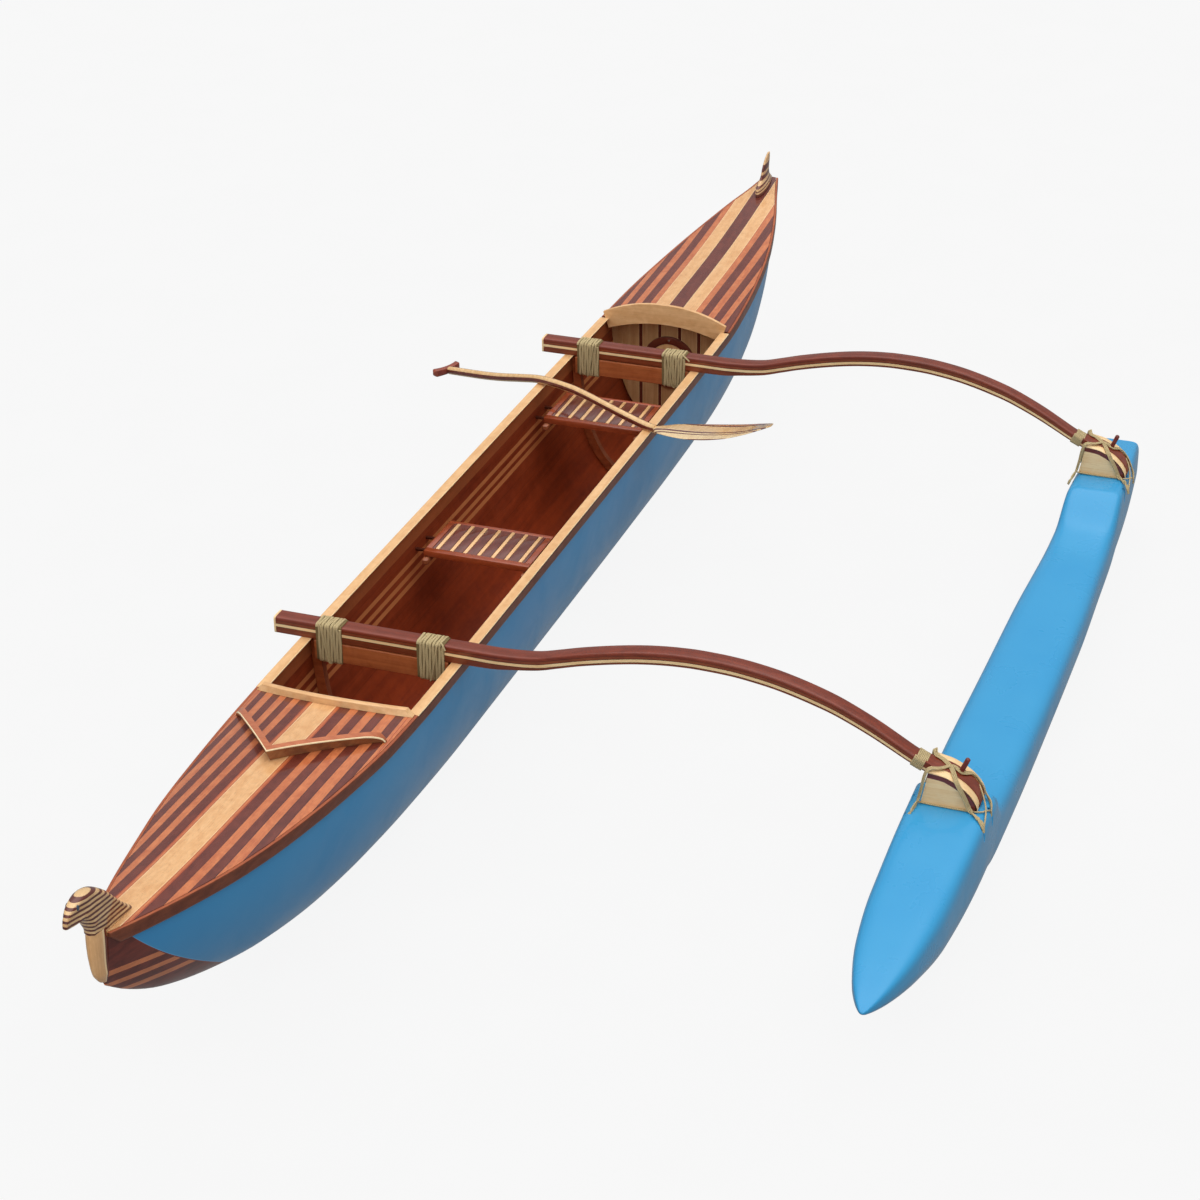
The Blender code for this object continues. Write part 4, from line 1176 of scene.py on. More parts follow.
@dataclass(frozen=True)
class Cordage(Finish):
    """Natural fibre cord, twisted, with painted shade in the grooves between the strands."""

    fibre: Colour = (0.4, 0.35, 0.22)
    groove_shade: Colour = (0.2, 0.16, 0.1)
    lay: float = 900.0

    def dress(self, graph: Graph, shader: Node) -> None:
        """Feeds the shader: strands with painted shade in their grooves.

        Args:
            graph: the material's nodes.
            shader: its Principled shader.
        """
        vector = self.place(graph, Grain.BY_MARKS, False)
        twist = Effects.place(graph, cord_twist, Vector=vector, Lay=self.lay)
        # The grooves between the strands are darkened: painted shade.
        ridge = graph.between(twist.outputs["Height"], 0.0, 0.55)
        colour = graph.blend(ridge, self.groove_shade, self.fibre)
        hairs = graph.between(twist.outputs["Fibres"], 0.35, 0.7, 0.0, 0.35)
        colour = graph.blend(hairs, colour, tuple(1.3 * c for c in self.fibre))
        relief = graph.sum("ADD", twist.outputs["Height"],
                           graph.sum("MULTIPLY", twist.outputs["Fibres"], 0.3))
        self.settle(graph, shader, colour, relief, 0.0006, twist.outputs["Fibres"])


def tones(*screen: tuple[int, int, int]) -> Wood:
    """A wood's light face, dark face and pores, from their screen colours."""
    return tuple(tone(*colour) for colour in screen)


MAPLE = tones((234, 188, 136), (214, 162, 108), (170, 118, 70))
DARK_WOOD = tones((128, 58, 34), (102, 42, 24), (60, 22, 12))


def timber(name: str, wood: Wood, grain: Grain = Grain.FORE_AND_AFT,
           **values: object) -> Material:
    """Makes a varnished wood of one kind.

    Args:
        name: the finish's name.
        wood: its light, dark and pore colours.
        grain: which way its grain runs.
        values: any other field of the finish.

    Returns:
        The material.
    """
    light, dark, pores = wood
    return Timber(name=name, light=light, dark=dark, pores=pores, grain=grain, **values).make()


def darker(wood: Wood, share: float) -> Wood:
    """The same wood with every colour scaled."""
    return tuple(tuple(c * share for c in colour) for colour in wood)


@dataclass
class Hull:
    """The planked shell, its rub rails, the caps on the cockpit's sides and the stem band."""

    form: HullForm
    count: int = 96
    hollow: float = 2.60
    rail_tall: float = 0.0395
    rail_round: float = 0.003
    cap_wide: float = 0.0325
    cap_lip: float = 0.0030
    cockpit: tuple[float, float] = (-1.4420, 1.4280)
    stem: tuple[Flat, ...] = (
        (0.4640, 2.7790), (0.4720, 2.7900), (0.4850, 2.8000), (0.5050, 2.8120),
        (0.5350, 2.8190), (0.5700, 2.8220), (0.6150, 2.8200), (0.6270, 2.8175),
    )

    def build(self) -> None:
        """Builds every piece of the hull."""
        self.build_shell()
        self.build_rails()
        self.build_caps()
        self.build_stem()

    def stations(self, low: float, high: float, step: float) -> list[float]:
        """Stations from low to high."""
        count = max(2, int(round((high - low) / step)) + 1)
        return even(count, low, high)

    def build_shell(self) -> None:
        """The shell: outer and inner skins joined by a rim, with solid ends."""
        form = self.form
        outside = HullOutside(
            name="hull paint and forefoot", rough=0.34, coat=0.35, coat_rough=0.05,
            colour=tone(50, 140, 196), faded=tone(56, 146, 200), wood=tone(112, 46, 34),
            wood_dark=tone(86, 32, 24), strip=tone(206, 122, 78), line=tone(120, 54, 40),
            painted_edge_highlight=tone(84, 168, 218)).make()
        inside = HullInside(
            name="inside planking", light=tone(150, 66, 34), dark=tone(118, 44, 20),
            pores=tone(66, 22, 10), pale=tone(200, 128, 78), warm=tone(150, 60, 26),
            rough=0.5, coat=0.12, along=1.4, across=26.0).make()
        skin = Skin("planked_hull")
        outer = [form.section(x, 0.0, 0.0, self.count)
                 for x in self.stations(form.stern_x, form.bow_x, 0.035)]
        inner = [form.section(x, form.wall, form.keel_skin, self.count)
                 for x in self.stations(-self.hollow, self.hollow, 0.04)]
        skin.rows(outer, closed=False, finish=0)
        base = len(skin.points)
        skin.rows(inner, closed=False, finish=1)
        size = self.count + 1
        for start in (0, (len(outer) - 1) * size):
            skin.face(range(start, start + size), 0)
        for start in (base, base + (len(inner) - 1) * size):
            skin.face(range(start, start + size), 1)
        for side in (0, -1):
            rim_out = [ring[side] for ring in outer]
            rim_in = []
            for ring in outer:
                x = min(max(ring[side][0], -self.hollow), self.hollow)
                wall = form.wall if abs(ring[side][0]) <= self.hollow else 0.0
                y = form.breadth(x) - wall
                keep = ring[side] if wall == 0.0 else (x, y if side == 0 else -y, form.top(x))
                rim_in.append(keep)
            start = len(skin.points)
            skin.points += rim_out + rim_in
            many = len(rim_out)
            for i in range(many - 1):
                skin.face((start + i, start + i + 1, start + many + i + 1, start + many + i), 1)
        skin.make((outside, inside), ("hull_shell",), slot="blue_paint", crease=50.0)

    def build_rails(self) -> None:
        """Dark rub rails along the whole sheer; beside the decks their rounded top is painted lighter
        orange, a painted highlight.
        """
        form = self.form
        rail = timber("rub rail", tones((124, 66, 42), (98, 48, 30), (54, 24, 14)),
                      rough=0.45, coat=0.2, across=60.0, wear=0.1)
        # Lighter orange for the rail's rounded top beside the decks: a painted highlight.
        edge = timber("rail top highlight", tones((174, 94, 57), (150, 74, 44), (96, 42, 24)),
                      rough=0.4, coat=0.3, across=60.0, wear=0.1)
        seam = timber("rail seam", tones((84, 42, 32), (70, 32, 26), (44, 20, 14)))
        low_edge = timber("rail lower edge", tones((126, 70, 44), (108, 56, 36), (60, 28, 18)),
                          rough=0.4, coat=0.3)
        aft, fore = self.cockpit
        cuts = (aft - 0.0130, aft - 0.0125, fore + 0.0005, fore + 0.0010)
        for side, word in SIDES:
            skin = Skin(f"sheer_rail_{word}")
            rings = []
            places = sorted(set(self.stations(form.stern_x, form.bow_x, 0.03)) | set(cuts))
            inside = [cuts[0] < x < cuts[3] for x in places]
            for x, capped in zip(places, inside):
                inner = form.breadth(x) + GAP
                outer = inner + form.rail_thick
                top = form.sheer(x) - (self.cap_lip + GAP if capped else 0.0005)
                low = form.sheer(x) - self.rail_tall
                past = min(form.bow_x - x, x - form.stern_x)
                low = top - (top - low) * math.sqrt(max(0.08, 1 - max(0.0, 1 - past / 0.03) ** 2))
                r = self.rail_round
                outline = ((inner, low), (outer - r, low), (outer - 0.3 * r, low + 0.8 * r),
                           (outer, low + 2 * r), (outer, top - 1.6 * r), (outer, top - r),
                           (outer - 0.4 * r, top - 0.3 * r), (outer - r, top), (inner, top))
                rings.append([(x, side * y, z) for y, z in outline])
            # Beside the decks the rounded top corner and top face wear the painted highlight (finish 1).
            kinds, deck = (3, 3, 3, 0, 2, 2, 2, 2, 0), (3, 3, 3, 0, 0, 0, 1, 1, 0)
            skin.rows(rings, finish_at=lambda i, j: (kinds if inside[i] else deck)[j])
            skin.make((rail, edge, seam, low_edge), (f"rub_rail_{word}",), slot="rail_wood",
                      crease=50.0)

    def build_caps(self) -> None:
        """Light caps on the two sides of the cockpit, with a painted highlight in cream on their rounded
        edges and edge faces.
        """
        form = self.form
        maple = timber("cap maple", MAPLE, across=30.0, mottle=0.5, **SATIN)
        # Cream for the caps' rounded edges and edge faces: a painted highlight.
        cream = timber("cap edge highlight", tones((250, 218, 170), (242, 206, 154), (214, 172, 118)), **SATIN)
        for side, word in SIDES:
            rings = []
            for x in self.stations(self.cockpit[0] + 0.0003, self.cockpit[1], 0.05):
                outer = form.wide(x)
                shell = form.breadth(x)
                face = shell - form.wall
                inner = outer - self.cap_wide
                top = form.sheer(x)
                low = top - form.deck_thick
                lip = top - self.cap_lip
                outline = ((inner, lip), (face, lip), (face, low), (shell, low), (shell, lip),
                           (outer, lip), (outer, top - 0.0012), (outer - 0.0014, top),
                           (inner + 0.0016, top), (inner, top - 0.0012))
                rings.append([(x, side * y, z) for y, z in outline])
            skin = Skin(f"side_cap_{word}")
            # The outer face, both rounded edges and the inner face wear the painted highlight.
            skin.rows(rings, finish_at=lambda i, j: 1 if j in (5, 6, 8, 9) else 0)
            skin.make((maple, cream), (f"gunwale_cap_{word}",), slot="light_wood", crease=30.0)

    def build_stem(self) -> None:
        """Light rounded band over the stem, with a dark line and a cream one down each edge."""
        maple = timber("stem maple", MAPLE, Grain.UPRIGHT, across=60.0, **SATIN)
        seam = timber("stem seam", DARK_WOOD, Grain.UPRIGHT)
        cream = timber("stem edge", tones((250, 222, 176), (242, 208, 158), (220, 180, 126)),
                       Grain.UPRIGHT, **SATIN)
        line = Fair(self.stem)
        back = self.form.bow_x + GAP
        rings = []
        for z in even(24, self.stem[0][0], self.stem[-1][0]):
            half = 0.0165 + 0.0045 * ease(0.50, 0.61, z) - 0.30 * max(0.495 - z, 0.0)
            ring = []
            for angle in (math.pi * k / 24 for k in range(25)):
                reach = max(math.sin(angle), 0.0) ** 0.8
                ring.append((back + (line(z) - back) * reach, half * math.cos(angle), z))
            rings.append(ring)
        Skin("stem_facing").rows(rings, finish_at=lambda i, j: (1, 2, 0)[min(j, 23 - j, 2)]).make(
            (maple, seam, cream), ("stem_band",), slot="light_wood", crease=60.0)


@dataclass
class Decks:
    """Both striped decks, the board at the cockpit's bow end, the arch at its stern end
    and the splash guard."""

    form: HullForm
    inset: float = 0.0008
    seam: float = 0.0015
    cockpit_bow: float = 1.4280
    cockpit_stern: float = -1.4420
    bow_curve: float = 0.058
    board_thick: float = 0.018
    board_tall: float = 0.021
    board_slant: float = 0.019
    arch_thick: float = 0.012
    arch_half: float = 0.2370
    arch_end: float = 0.5280
    arch_rise: float = 0.0550
    arch_low_half: float = 0.2165
    arch_low_end: float = 0.4650
    arch_low_rise: float = 0.0390
    guard_point: float = 1.8660
    guard_end: Flat = (1.6025, 0.2270)
    guard_wide: float = 0.021
    guard_lean: float = 0.020
    guard_tall: float = 0.041
    guard_taper: float = 0.016

    def build(self) -> None:
        """Builds every piece of the decks."""
        woods = (
            ("maple", tone(232, 184, 132), tone(216, 160, 106)),
            # The cream bands at the maple strips' edges are painted highlight lines.
            ("cream", tone(242, 208, 158), tone(236, 194, 142)),
            ("orange", tone(208, 124, 76), tone(182, 96, 56)),
            ("rust", tone(180, 84, 48), tone(160, 68, 38)),
            ("dark", tone(114, 50, 36), tone(90, 34, 24)),
            ("seam", tone(78, 30, 26), tone(64, 24, 22)),
        )
        # The bow's cream band beside the middle maple strip is a painted highlight line.
        bow = ((0.033, "maple"), (0.035, "cream"), (0.037, "rust"), (0.043, "orange"))
        bow += self.seamed((0.047, "rust"), (0.0755, "dark"), (0.099, "orange"), (0.1215, "dark"),
                           (0.147, "orange"), (0.1705, "dark"), (0.198, "orange"),
                           (0.2185, "dark"))
        bow += ((0.228, "orange"), (0.230, "rust"), (0.26, "orange"))
        stern = self.seamed((0.0265, "dark"))
        # The stern's cream bands on both edges of its maple strip are painted highlight lines.
        stern += ((0.030, "cream"), (0.079, "maple"), (0.081, "cream"), (0.083, "rust"))
        stern += self.seamed((0.104, "orange"), (0.1345, "dark"), (0.161, "orange"),
                             (0.1865, "dark"), (0.210, "orange"), (0.2375, "dark"))
        stern += ((0.26, "orange"),)
        for word, bands in (("bow", bow), ("stern", stern)):
            finish = Strips(
                name=f"{word} deck strips", woods=woods, bands=bands, pores=tone(70, 30, 24),
                along=2.4, across=70.0, mottle=0.6, rough=0.34, coat=0.8, coat_rough=0.02)
            self.build_deck(word, finish.make())
        self.build_board()
        self.build_arch()
        self.build_guard()

    def seamed(self, *strips: tuple[float, str]) -> tuple[tuple[float, str], ...]:
        """Strips that each have a dark seam after them.

        Args:
            strips: where each ends, and its wood.

        Returns:
            The strips and seams as bands.
        """
        return tuple(band for end, wood in strips
                     for band in ((end, wood), (end + self.seam, "seam")))

    def build_deck(self, word: str, finish: Material) -> None:
        """One crowned deck, from the cockpit to the tip.

        Args:
            word: which end of the hull it covers.
            finish: its striped wood.
        """
        form = self.form
        step = 0.0005
        if word == "bow":
            start, tip, curve = self.cockpit_bow + 2 * step, form.bow_x - step, self.bow_curve
        else:
            start, tip, curve = self.cockpit_stern - self.arch_thick - 0.0006, \
                form.stern_x + step, 0.0
        rings = []
        for row in even(52, 0.0, 1.0):
            upper, lower = [], []
            for v in even(49):
                edge = start + curve * (1.0 - v * v)
                x = edge + (tip - edge) * row
                y = v * (form.breadth(x) - self.inset)
                top = form.deck_top(x, y)
                upper.append((x, y, top))
                lower.append((x, y, top - form.deck_thick + self.inset))
            rings.append(upper + lower[::-1])
        Skin(f"{word}_strip_deck").rows(rings).make(
            (finish,), (f"{word}_deck",), slot="striped_deck", crease=40.0)

    def build_board(self) -> None:
        """The low curved board at the cockpit's bow end, its ends cut on a slant."""
        form = self.form
        maple = timber("board maple", MAPLE, Grain.ACROSS, across=46.0, **SATIN)
        rings = []
        for v in even(61):
            aft = self.cockpit_bow + GAP + self.bow_curve * (1.0 - v * v)
            fore = aft + self.board_thick
            foot = form.breadth(fore) - self.inset
            y = v * foot
            inner = v * (foot - self.board_slant)
            low_aft = form.deck_top(aft, y) + 2 * GAP
            low_fore = form.deck_top(fore, y) + 2 * GAP
            top = low_aft + self.board_tall
            rings.append([
                (aft, y, low_aft), (fore, y, low_fore), (fore, inner, top - 0.0022),
                (fore - 0.0008, inner, top - 0.0006), (fore - 0.0024, inner, top),
                (aft + 0.0022, inner, top), (aft + 0.0007, inner, top - 0.0006),
                (aft, inner, top - 0.0020)])
        Skin("cockpit_board").rows(rings).make((maple,), ("bow_coaming",), slot="light_wood", crease=24.0)

    def build_arch(self) -> None:
        """The arched board across the cockpit's stern end."""
        maple = timber("arch maple", MAPLE, Grain.ACROSS, across=40.0, mottle=0.5, **SATIN)
        shade = timber("arch end grain", darker(MAPLE, 0.55), Grain.UPRIGHT, across=60.0)
        aft = self.cockpit_stern - self.arch_thick
        fore = self.cockpit_stern
        rings = []
        for v in even(65):
            y_top = v * self.arch_half
            y_low = v * self.arch_low_half
            top = self.arch_end + self.arch_rise * (1.0 - abs(v) ** 2.2)
            low = self.arch_low_end + self.arch_low_rise * (1.0 - v * v)
            soft = 0.0016
            rings.append([
                (aft, y_low, low), (fore - soft, y_low, low), (fore, y_low, low + soft),
                (fore, y_top, top - soft), (fore - soft, y_top, top),
                (aft + soft, y_top, top), (aft, y_top, top - soft)])
        Skin("cockpit_arch").rows(rings, cap_finish=1).make(
            (maple, shade), ("stern_coaming",), slot="light_wood", crease=30.0)

    def build_guard(self) -> None:
        """The V-shaped splash guard, flared forward, with a cream edge strip."""
        form = self.form
        face = timber("guard face", tones((160, 102, 60), (130, 76, 42), (86, 44, 24)),
                      Grain.ACROSS, across=60.0, **SATIN)
        top_wood = timber("guard top", tones((196, 116, 76), (172, 92, 56), (150, 74, 46)),
                          Grain.ACROSS, across=60.0, **SATIN)
        cream = timber("guard edge", tones((250, 232, 190), (240, 214, 166), (200, 160, 110)),
                       Grain.ACROSS, **SATIN)
        end_x, end_y = self.guard_end
        run = math.hypot(self.guard_point - end_x, end_y)
        inward = self.guard_wide * run / end_y
        rings = []
        for v in even(97):
            out = abs(v)
            y = v * end_y
            fore = self.guard_point - (self.guard_point - end_x) * out
            aft = fore - inward * min(1.0, 0.35 + 8.0 * (1.0 - out))
            round_end = math.sqrt(max(0.0, 1.0 - max(0.0, (out - 0.80) / 0.20) ** 2))
            tall = (self.guard_tall - self.guard_taper * out) * (0.12 + 0.88 * round_end)
            lean = self.guard_lean * (tall / self.guard_tall)
            low_fore = form.deck_top(fore - lean, y) + 3 * GAP
            low_aft = form.deck_top(aft, y) + 3 * GAP
            rings.append([
                (fore - lean, y, low_fore), (fore - 0.0005, y, low_fore + tall - 0.0032),
                (fore, y, low_fore + tall - 0.0020), (fore - 0.0008, y, low_fore + tall),
                (fore - 0.0045, y, low_fore + tall), (aft + 0.0015, y, low_fore + tall),
                (aft, y, low_aft + 0.9 * tall), (aft, y, low_aft)])
        Skin("deck_guard").rows(rings, finish_at=lambda i, j: (0, 2, 2, 2, 1, 1, 0, 0)[j]).make(
            (face, top_wood, cream), ("splash_guard",), slot="orange_wood", crease=28.0)


@dataclass
class Crossbeams:
    """Both crossbeams: laminated, lashed to the hull, and ending in a block on the float.

    Each row of the path holds y, the height of the top face, and the depth there.
    """

    places: tuple[tuple[str, float], ...] = (("front", 1.1), ("rear", -1.1))
    wide: float = 0.050
    corner: float = 0.0055
    path: tuple[tuple[float, float, float], ...] = (
        (-0.3390, 0.5543, 0.0533), (-0.1500, 0.5543, 0.0533), (0.0500, 0.5543, 0.0533),
        (0.2600, 0.5543, 0.0533), (0.3400, 0.5535, 0.0515), (0.4180, 0.5570, 0.0450),
        (0.4800, 0.5640, 0.0420), (0.5410, 0.5800, 0.0400), (0.6010, 0.5975, 0.0395),
        (0.6620, 0.6130, 0.0395), (0.7220, 0.6265, 0.0395), (0.7820, 0.6380, 0.0395),
        (0.8410, 0.6465, 0.0395), (0.9000, 0.6520, 0.0395), (0.9590, 0.6545, 0.0395),
        (1.0170, 0.6535, 0.0395), (1.0750, 0.6500, 0.0390), (1.1330, 0.6430, 0.0390),
        (1.1910, 0.6330, 0.0385), (1.2490, 0.6190, 0.0380), (1.3070, 0.6020, 0.0375),
        (1.3640, 0.5820, 0.0360), (1.4220, 0.5560, 0.0345), (1.4800, 0.5270, 0.0330),
        (1.5380, 0.4940, 0.0310), (1.5900, 0.4640, 0.0295), (1.6400, 0.4400, 0.0285),
        (1.6850, 0.4235, 0.0280), (1.7100, 0.4160, 0.0280),
    )
    layers: tuple[float, ...] = (0.011, 0.012, 0.020, 0.0215, 0.0305, 0.032)
    brace_low: float = 0.4367
    cord_reach: tuple[float, float] = (-0.0258, 0.0261)
    cord_wide: float = 0.0094
    cord_thick: float = 0.0052
    lashings: tuple[tuple[str, float, float], ...] = (
        ("starboard", -0.2040, -0.1200), ("port", 0.1160, 0.2040))
    whipping: tuple[float, float] = (1.5950, 1.6250)
    whipping_turns: int = 7
    whipping_steps: int = 26
    whipping_radius: float = 0.0027
    block_half: float = 0.054
    block_edge: float = 0.004
    block_points: int = 36
    block_top: tuple[Flat, ...] = (
        (1.6400, 0.4400), (1.6600, 0.4362), (1.6852, 0.4310), (1.7060, 0.4225),
        (1.7256, 0.4120), (1.7450, 0.3985), (1.7617, 0.3820), (1.7730, 0.3670),
        (1.7795, 0.3500), (1.7800, 0.3430), (1.7770, 0.3350),
    )
    stripe: tuple[Flat, ...] = (
        (1.6375, 0.4257), (1.6600, 0.4240), (1.6838, 0.4206), (1.7040, 0.4125),
        (1.7227, 0.4030), (1.7410, 0.3895), (1.7577, 0.3725), (1.7680, 0.3560),
        (1.7725, 0.3440), (1.7720, 0.3350),
    )
    stripe_half: float = 0.0075
    end_cap: float = 0.0060
    block_base: tuple[Flat, Flat] = ((1.6220, 0.3347), (1.7660, 0.3347))
    strand_radius: float = 0.0023
    crossing: tuple[tuple[tuple[Point, ...], tuple[float, ...]], ...] = (
        (((0.112, 1.600, 0.316), (0.110, 1.607, 0.333), (0.086, 1.611, 0.3375),
          (0.0600, 1.6155, 0.3445), (0.0590, 1.6230, 0.380), (0.0585, 1.6300, 0.424),
          (0.0530, 1.6410, 0.4475), (0.030, 1.668, 0.4415), (-0.004, 1.695, 0.4345),
          (0.002, 1.7222, 0.4215), (-0.031, 1.7474, 0.4045), (-0.033, 1.772, 0.3760),
          (-0.029, 1.7850, 0.3520), (-0.021, 1.7990, 0.3350), (-0.006, 1.8070, 0.3285),
          (0.0086, 1.8105, 0.3180), (0.0110, 1.8120, 0.3040)), (-0.0045, 0.0, 0.0045)),
        (((-0.060, 1.606, 0.320), (-0.0595, 1.620, 0.365), (-0.0565, 1.631, 0.4440),
          (-0.028, 1.642, 0.4465), (-0.0150, 1.6675, 0.4415), (0.0102, 1.694, 0.4350),
          (0.040, 1.711, 0.4270), (0.0580, 1.7230, 0.4160), (0.0595, 1.748, 0.3700),
          (0.0605, 1.7600, 0.3445), (0.078, 1.782, 0.3385), (0.095, 1.800, 0.3345),
          (0.103, 1.8090, 0.3230), (0.1045, 1.812, 0.3080)), (-0.0045, 0.0, 0.0045)),
        (((0.0560, 1.612, 0.3390), (0.0580, 1.660, 0.3380), (0.0580, 1.757, 0.3380),
          (0.050, 1.790, 0.3370), (0.030, 1.803, 0.3320), (0.013, 1.8105, 0.3220),
          (0.012, 1.813, 0.3080)), (0.0,)),
        (((-0.020, 1.768, 0.3790), (0.000, 1.783, 0.3620), (0.022, 1.797, 0.3395),
          (0.060, 1.806, 0.3330), (0.095, 1.8105, 0.3220), (0.104, 1.8130, 0.3080)), (0.0,)),
    )
    peg: tuple[Point, Point] = ((-0.0052, 1.7150, 0.4120), (0.0, 1.7377, 0.4687))
    peg_radius: float = 0.0072

    def __post_init__(self) -> None:
        """Fairs the path."""
        self.top = Fair(self.path, 1)
        self.deep = Fair(self.path, 2)

    def row(self, y: float) -> tuple[float, float, float, float, float]:
        """Place, height, depth and direction of a crossbeam at y.

        Args:
            y: the place along it.

        Returns:
            The y, the top's height, the depth, and the direction's level and upward parts.
        """
        rise = self.top(y + 0.004) - self.top(y - 0.004)
        length = math.hypot(0.008, rise)
        return (y, self.top(y), self.deep(y), 0.008 / length, rise / length)

    def ring(self, x: float, y: float, grow: float = 0.0) -> list[Point]:
        """Section of a crossbeam, with a point at the edge of each layer.

        Args:
            x: its middle, fore and aft.
            y: the place along it.
            grow: how far outside its surface.

        Returns:
            Points from the top, down one side and up the other.
        """
        y, top, deep, run, rise = self.row(y)
        half = 0.5 * self.wide + grow
        r = self.corner + grow
        scale = min(1.0, deep / 0.0395)
        side = [(half - r, grow)]
        for angle in (30, 60, 90):
            a = math.radians(angle)
            side.append((half - r + r * math.sin(a), grow - r + r * math.cos(a)))
        side += [(half, -depth * scale) for depth in self.layers]
        low = -deep - grow
        for angle in (0, 45, 90):
            a = math.radians(angle)
            side.append((half - r + r * math.cos(a), low + r - r * math.sin(a)))
        flat = side + [(-across, up) for across, up in reversed(side)]
        return [(x + across, y - rise * up, top + run * up) for across, up in flat]

    def build(self) -> None:
        """Builds both crossbeams with all that ties them."""
        woods = (
            timber("beam red brown", tones((130, 54, 32), (104, 40, 22), (62, 22, 12)),
                   Grain.ACROSS, across=52.0, rough=0.36, coat=0.5),
            timber("beam dark glue line", tones((74, 34, 26), (58, 26, 20), (30, 14, 10)),
                   Grain.ACROSS, rough=0.4),
            timber("beam maple", tones((244, 214, 164), (232, 192, 138), (190, 140, 90)),
                   Grain.ACROSS, across=52.0, rough=0.34, coat=0.4),
            timber("beam brown", tones((140, 70, 42), (112, 52, 30), (70, 30, 18)),
                   Grain.ACROSS, across=52.0, rough=0.36, coat=0.4),
            timber("block stripe", tones((116, 52, 42), (92, 38, 32), (52, 20, 16)),
                   Grain.ACROSS, across=60.0, rough=0.36, coat=0.5),
        )
        cord = Cordage(name="lashing cord", rough=0.78, coat=0.0, fibre=tone(202, 182, 138),
                       groove_shade=tone(88, 74, 48), lay=1300.0).make()
        # A darker cord for the sleeve under the lashing turns: painted shade in their gaps.
        shade = Cordage(name="lashing shade", rough=0.85, coat=0.0, fibre=tone(126, 108, 72),
                        groove_shade=tone(80, 68, 44), lay=1300.0).make()
        peg = timber("peg wood", tones((124, 48, 40), (92, 34, 30), (50, 18, 16)),
                     Grain.UPRIGHT, across=120.0, rough=0.4, coat=0.5)
        brace = timber("brace wood", tones((176, 98, 54), (146, 74, 38), (96, 44, 22)),
                       Grain.ACROSS, across=40.0, rough=0.38, coat=0.5, solid=True)
        for word, x in self.places:
            self.build_beam(word, x, woods)
            self.build_block(word, x, woods)
            self.build_whipping(word, x, cord)
            self.build_crossing(word, x, cord)
            for side, start, end in self.lashings:
                self.build_lashing(word, x, side, (start, end), cord, shade)
            self.build_peg(word, x, peg)
            wear(f"{word}_brace", brace)

    def build_beam(self, word: str, x: float, woods: Sequence[Material]) -> None:
        """One crossbeam, its layers told by the section's points.

        Args:
            word: front or rear.
            x: its middle, fore and aft.
            woods: its finishes.
        """
        ys = [self.path[0][0]] + even(116, self.path[0][0] + self.end_cap, self.path[-1][0])
        half = [0, 0, 0, 0, 1, 3, 1, 2, 1, 3, 3, 3]
        kinds = half + [3] + half[::-1] + [0]
        skin = Skin(f"{word}_crossbeam")
        skin.rows([self.ring(x, y) for y in ys], finish_at=lambda i, j: 2 if i < 1 else kinds[j],
                  cap_finish=0)
        skin.make(woods, (f"{word}_iako",), slot="dark_wood", crease=40.0)

    def build_block(self, word: str, x: float, woods: Sequence[Material]) -> None:
        """The layered block on the float, and the beam's top layer that bends down over it.

        Args:
            word: front or rear.
            x: its middle, fore and aft.
            woods: its finishes.
        """
        count = self.block_points
        lines = []
        for line, lift in ((self.block_top, 0.0), (self.stripe, self.stripe_half),
                           (self.stripe, -self.stripe_half), (self.block_base, 0.0)):
            path = faired_path([(0.0, y, z) for y, z in line], count) if len(line) > 2 else \
                [Vector((0, a, line[0][1])) for a in even(count, line[0][0], line[1][0])]
            moved = []
            for i, p in enumerate(path):
                along = path[min(i + 1, count - 1)] - path[max(i - 1, 0)]
                out = Vector((0.0, -along.z, along.y)).normalized()
                q = p + out * lift
                moved.append((q.y, max(q.z, self.block_base[0][1])))
            lines.append(moved)
        top, upper, lower, base = lines
        edge = self.block_edge
        skin = Skin(f"{word}_layered_block")
        rings = []
        for share in (-1.0, -0.99, -0.965, -0.93, -0.5, 0.0, 0.5, 0.93, 0.965, 0.99, 1.0):
            past = max(0.0, abs(share) * self.block_half - self.block_half + edge) / edge
            drop = edge * (1.0 - math.sqrt(max(0.0, 1.0 - past * past)))
            ring = [base[0], (lower[0][0] + 0.3 * drop, lower[0][1]), upper[0]]
            ring += [drawn_aside(top, i, drop) for i in range(count)]
            ring += [upper[-1], lower[-1], base[-1]]
            at = x + share * self.block_half
            rings.append([(at, y, max(z, self.block_base[0][1])) for y, z in ring])
        kinds = [2, 4] + [2] * (count + 1) + [4, 2, 2]
        skin.rows(rings, caps=False, finish_at=lambda i, j: kinds[min(j, len(kinds) - 1)])
        for at in (x - self.block_half, x + self.block_half):
            edges = [[drawn_aside(top, i, edge) for i in range(count)], upper, lower, base]
            for band, kind in ((0, 2), (1, 4), (2, 2)):
                rows = [[(at, y, z) for y, z in edges[band + side]] for side in (0, 1)]
                skin.rows(rows, closed=False, finish=kind)
        self.add_top_layer(skin, x)
        skin.make(woods, (f"{word}_saddle_block",), slot="light_wood", crease=32.0)

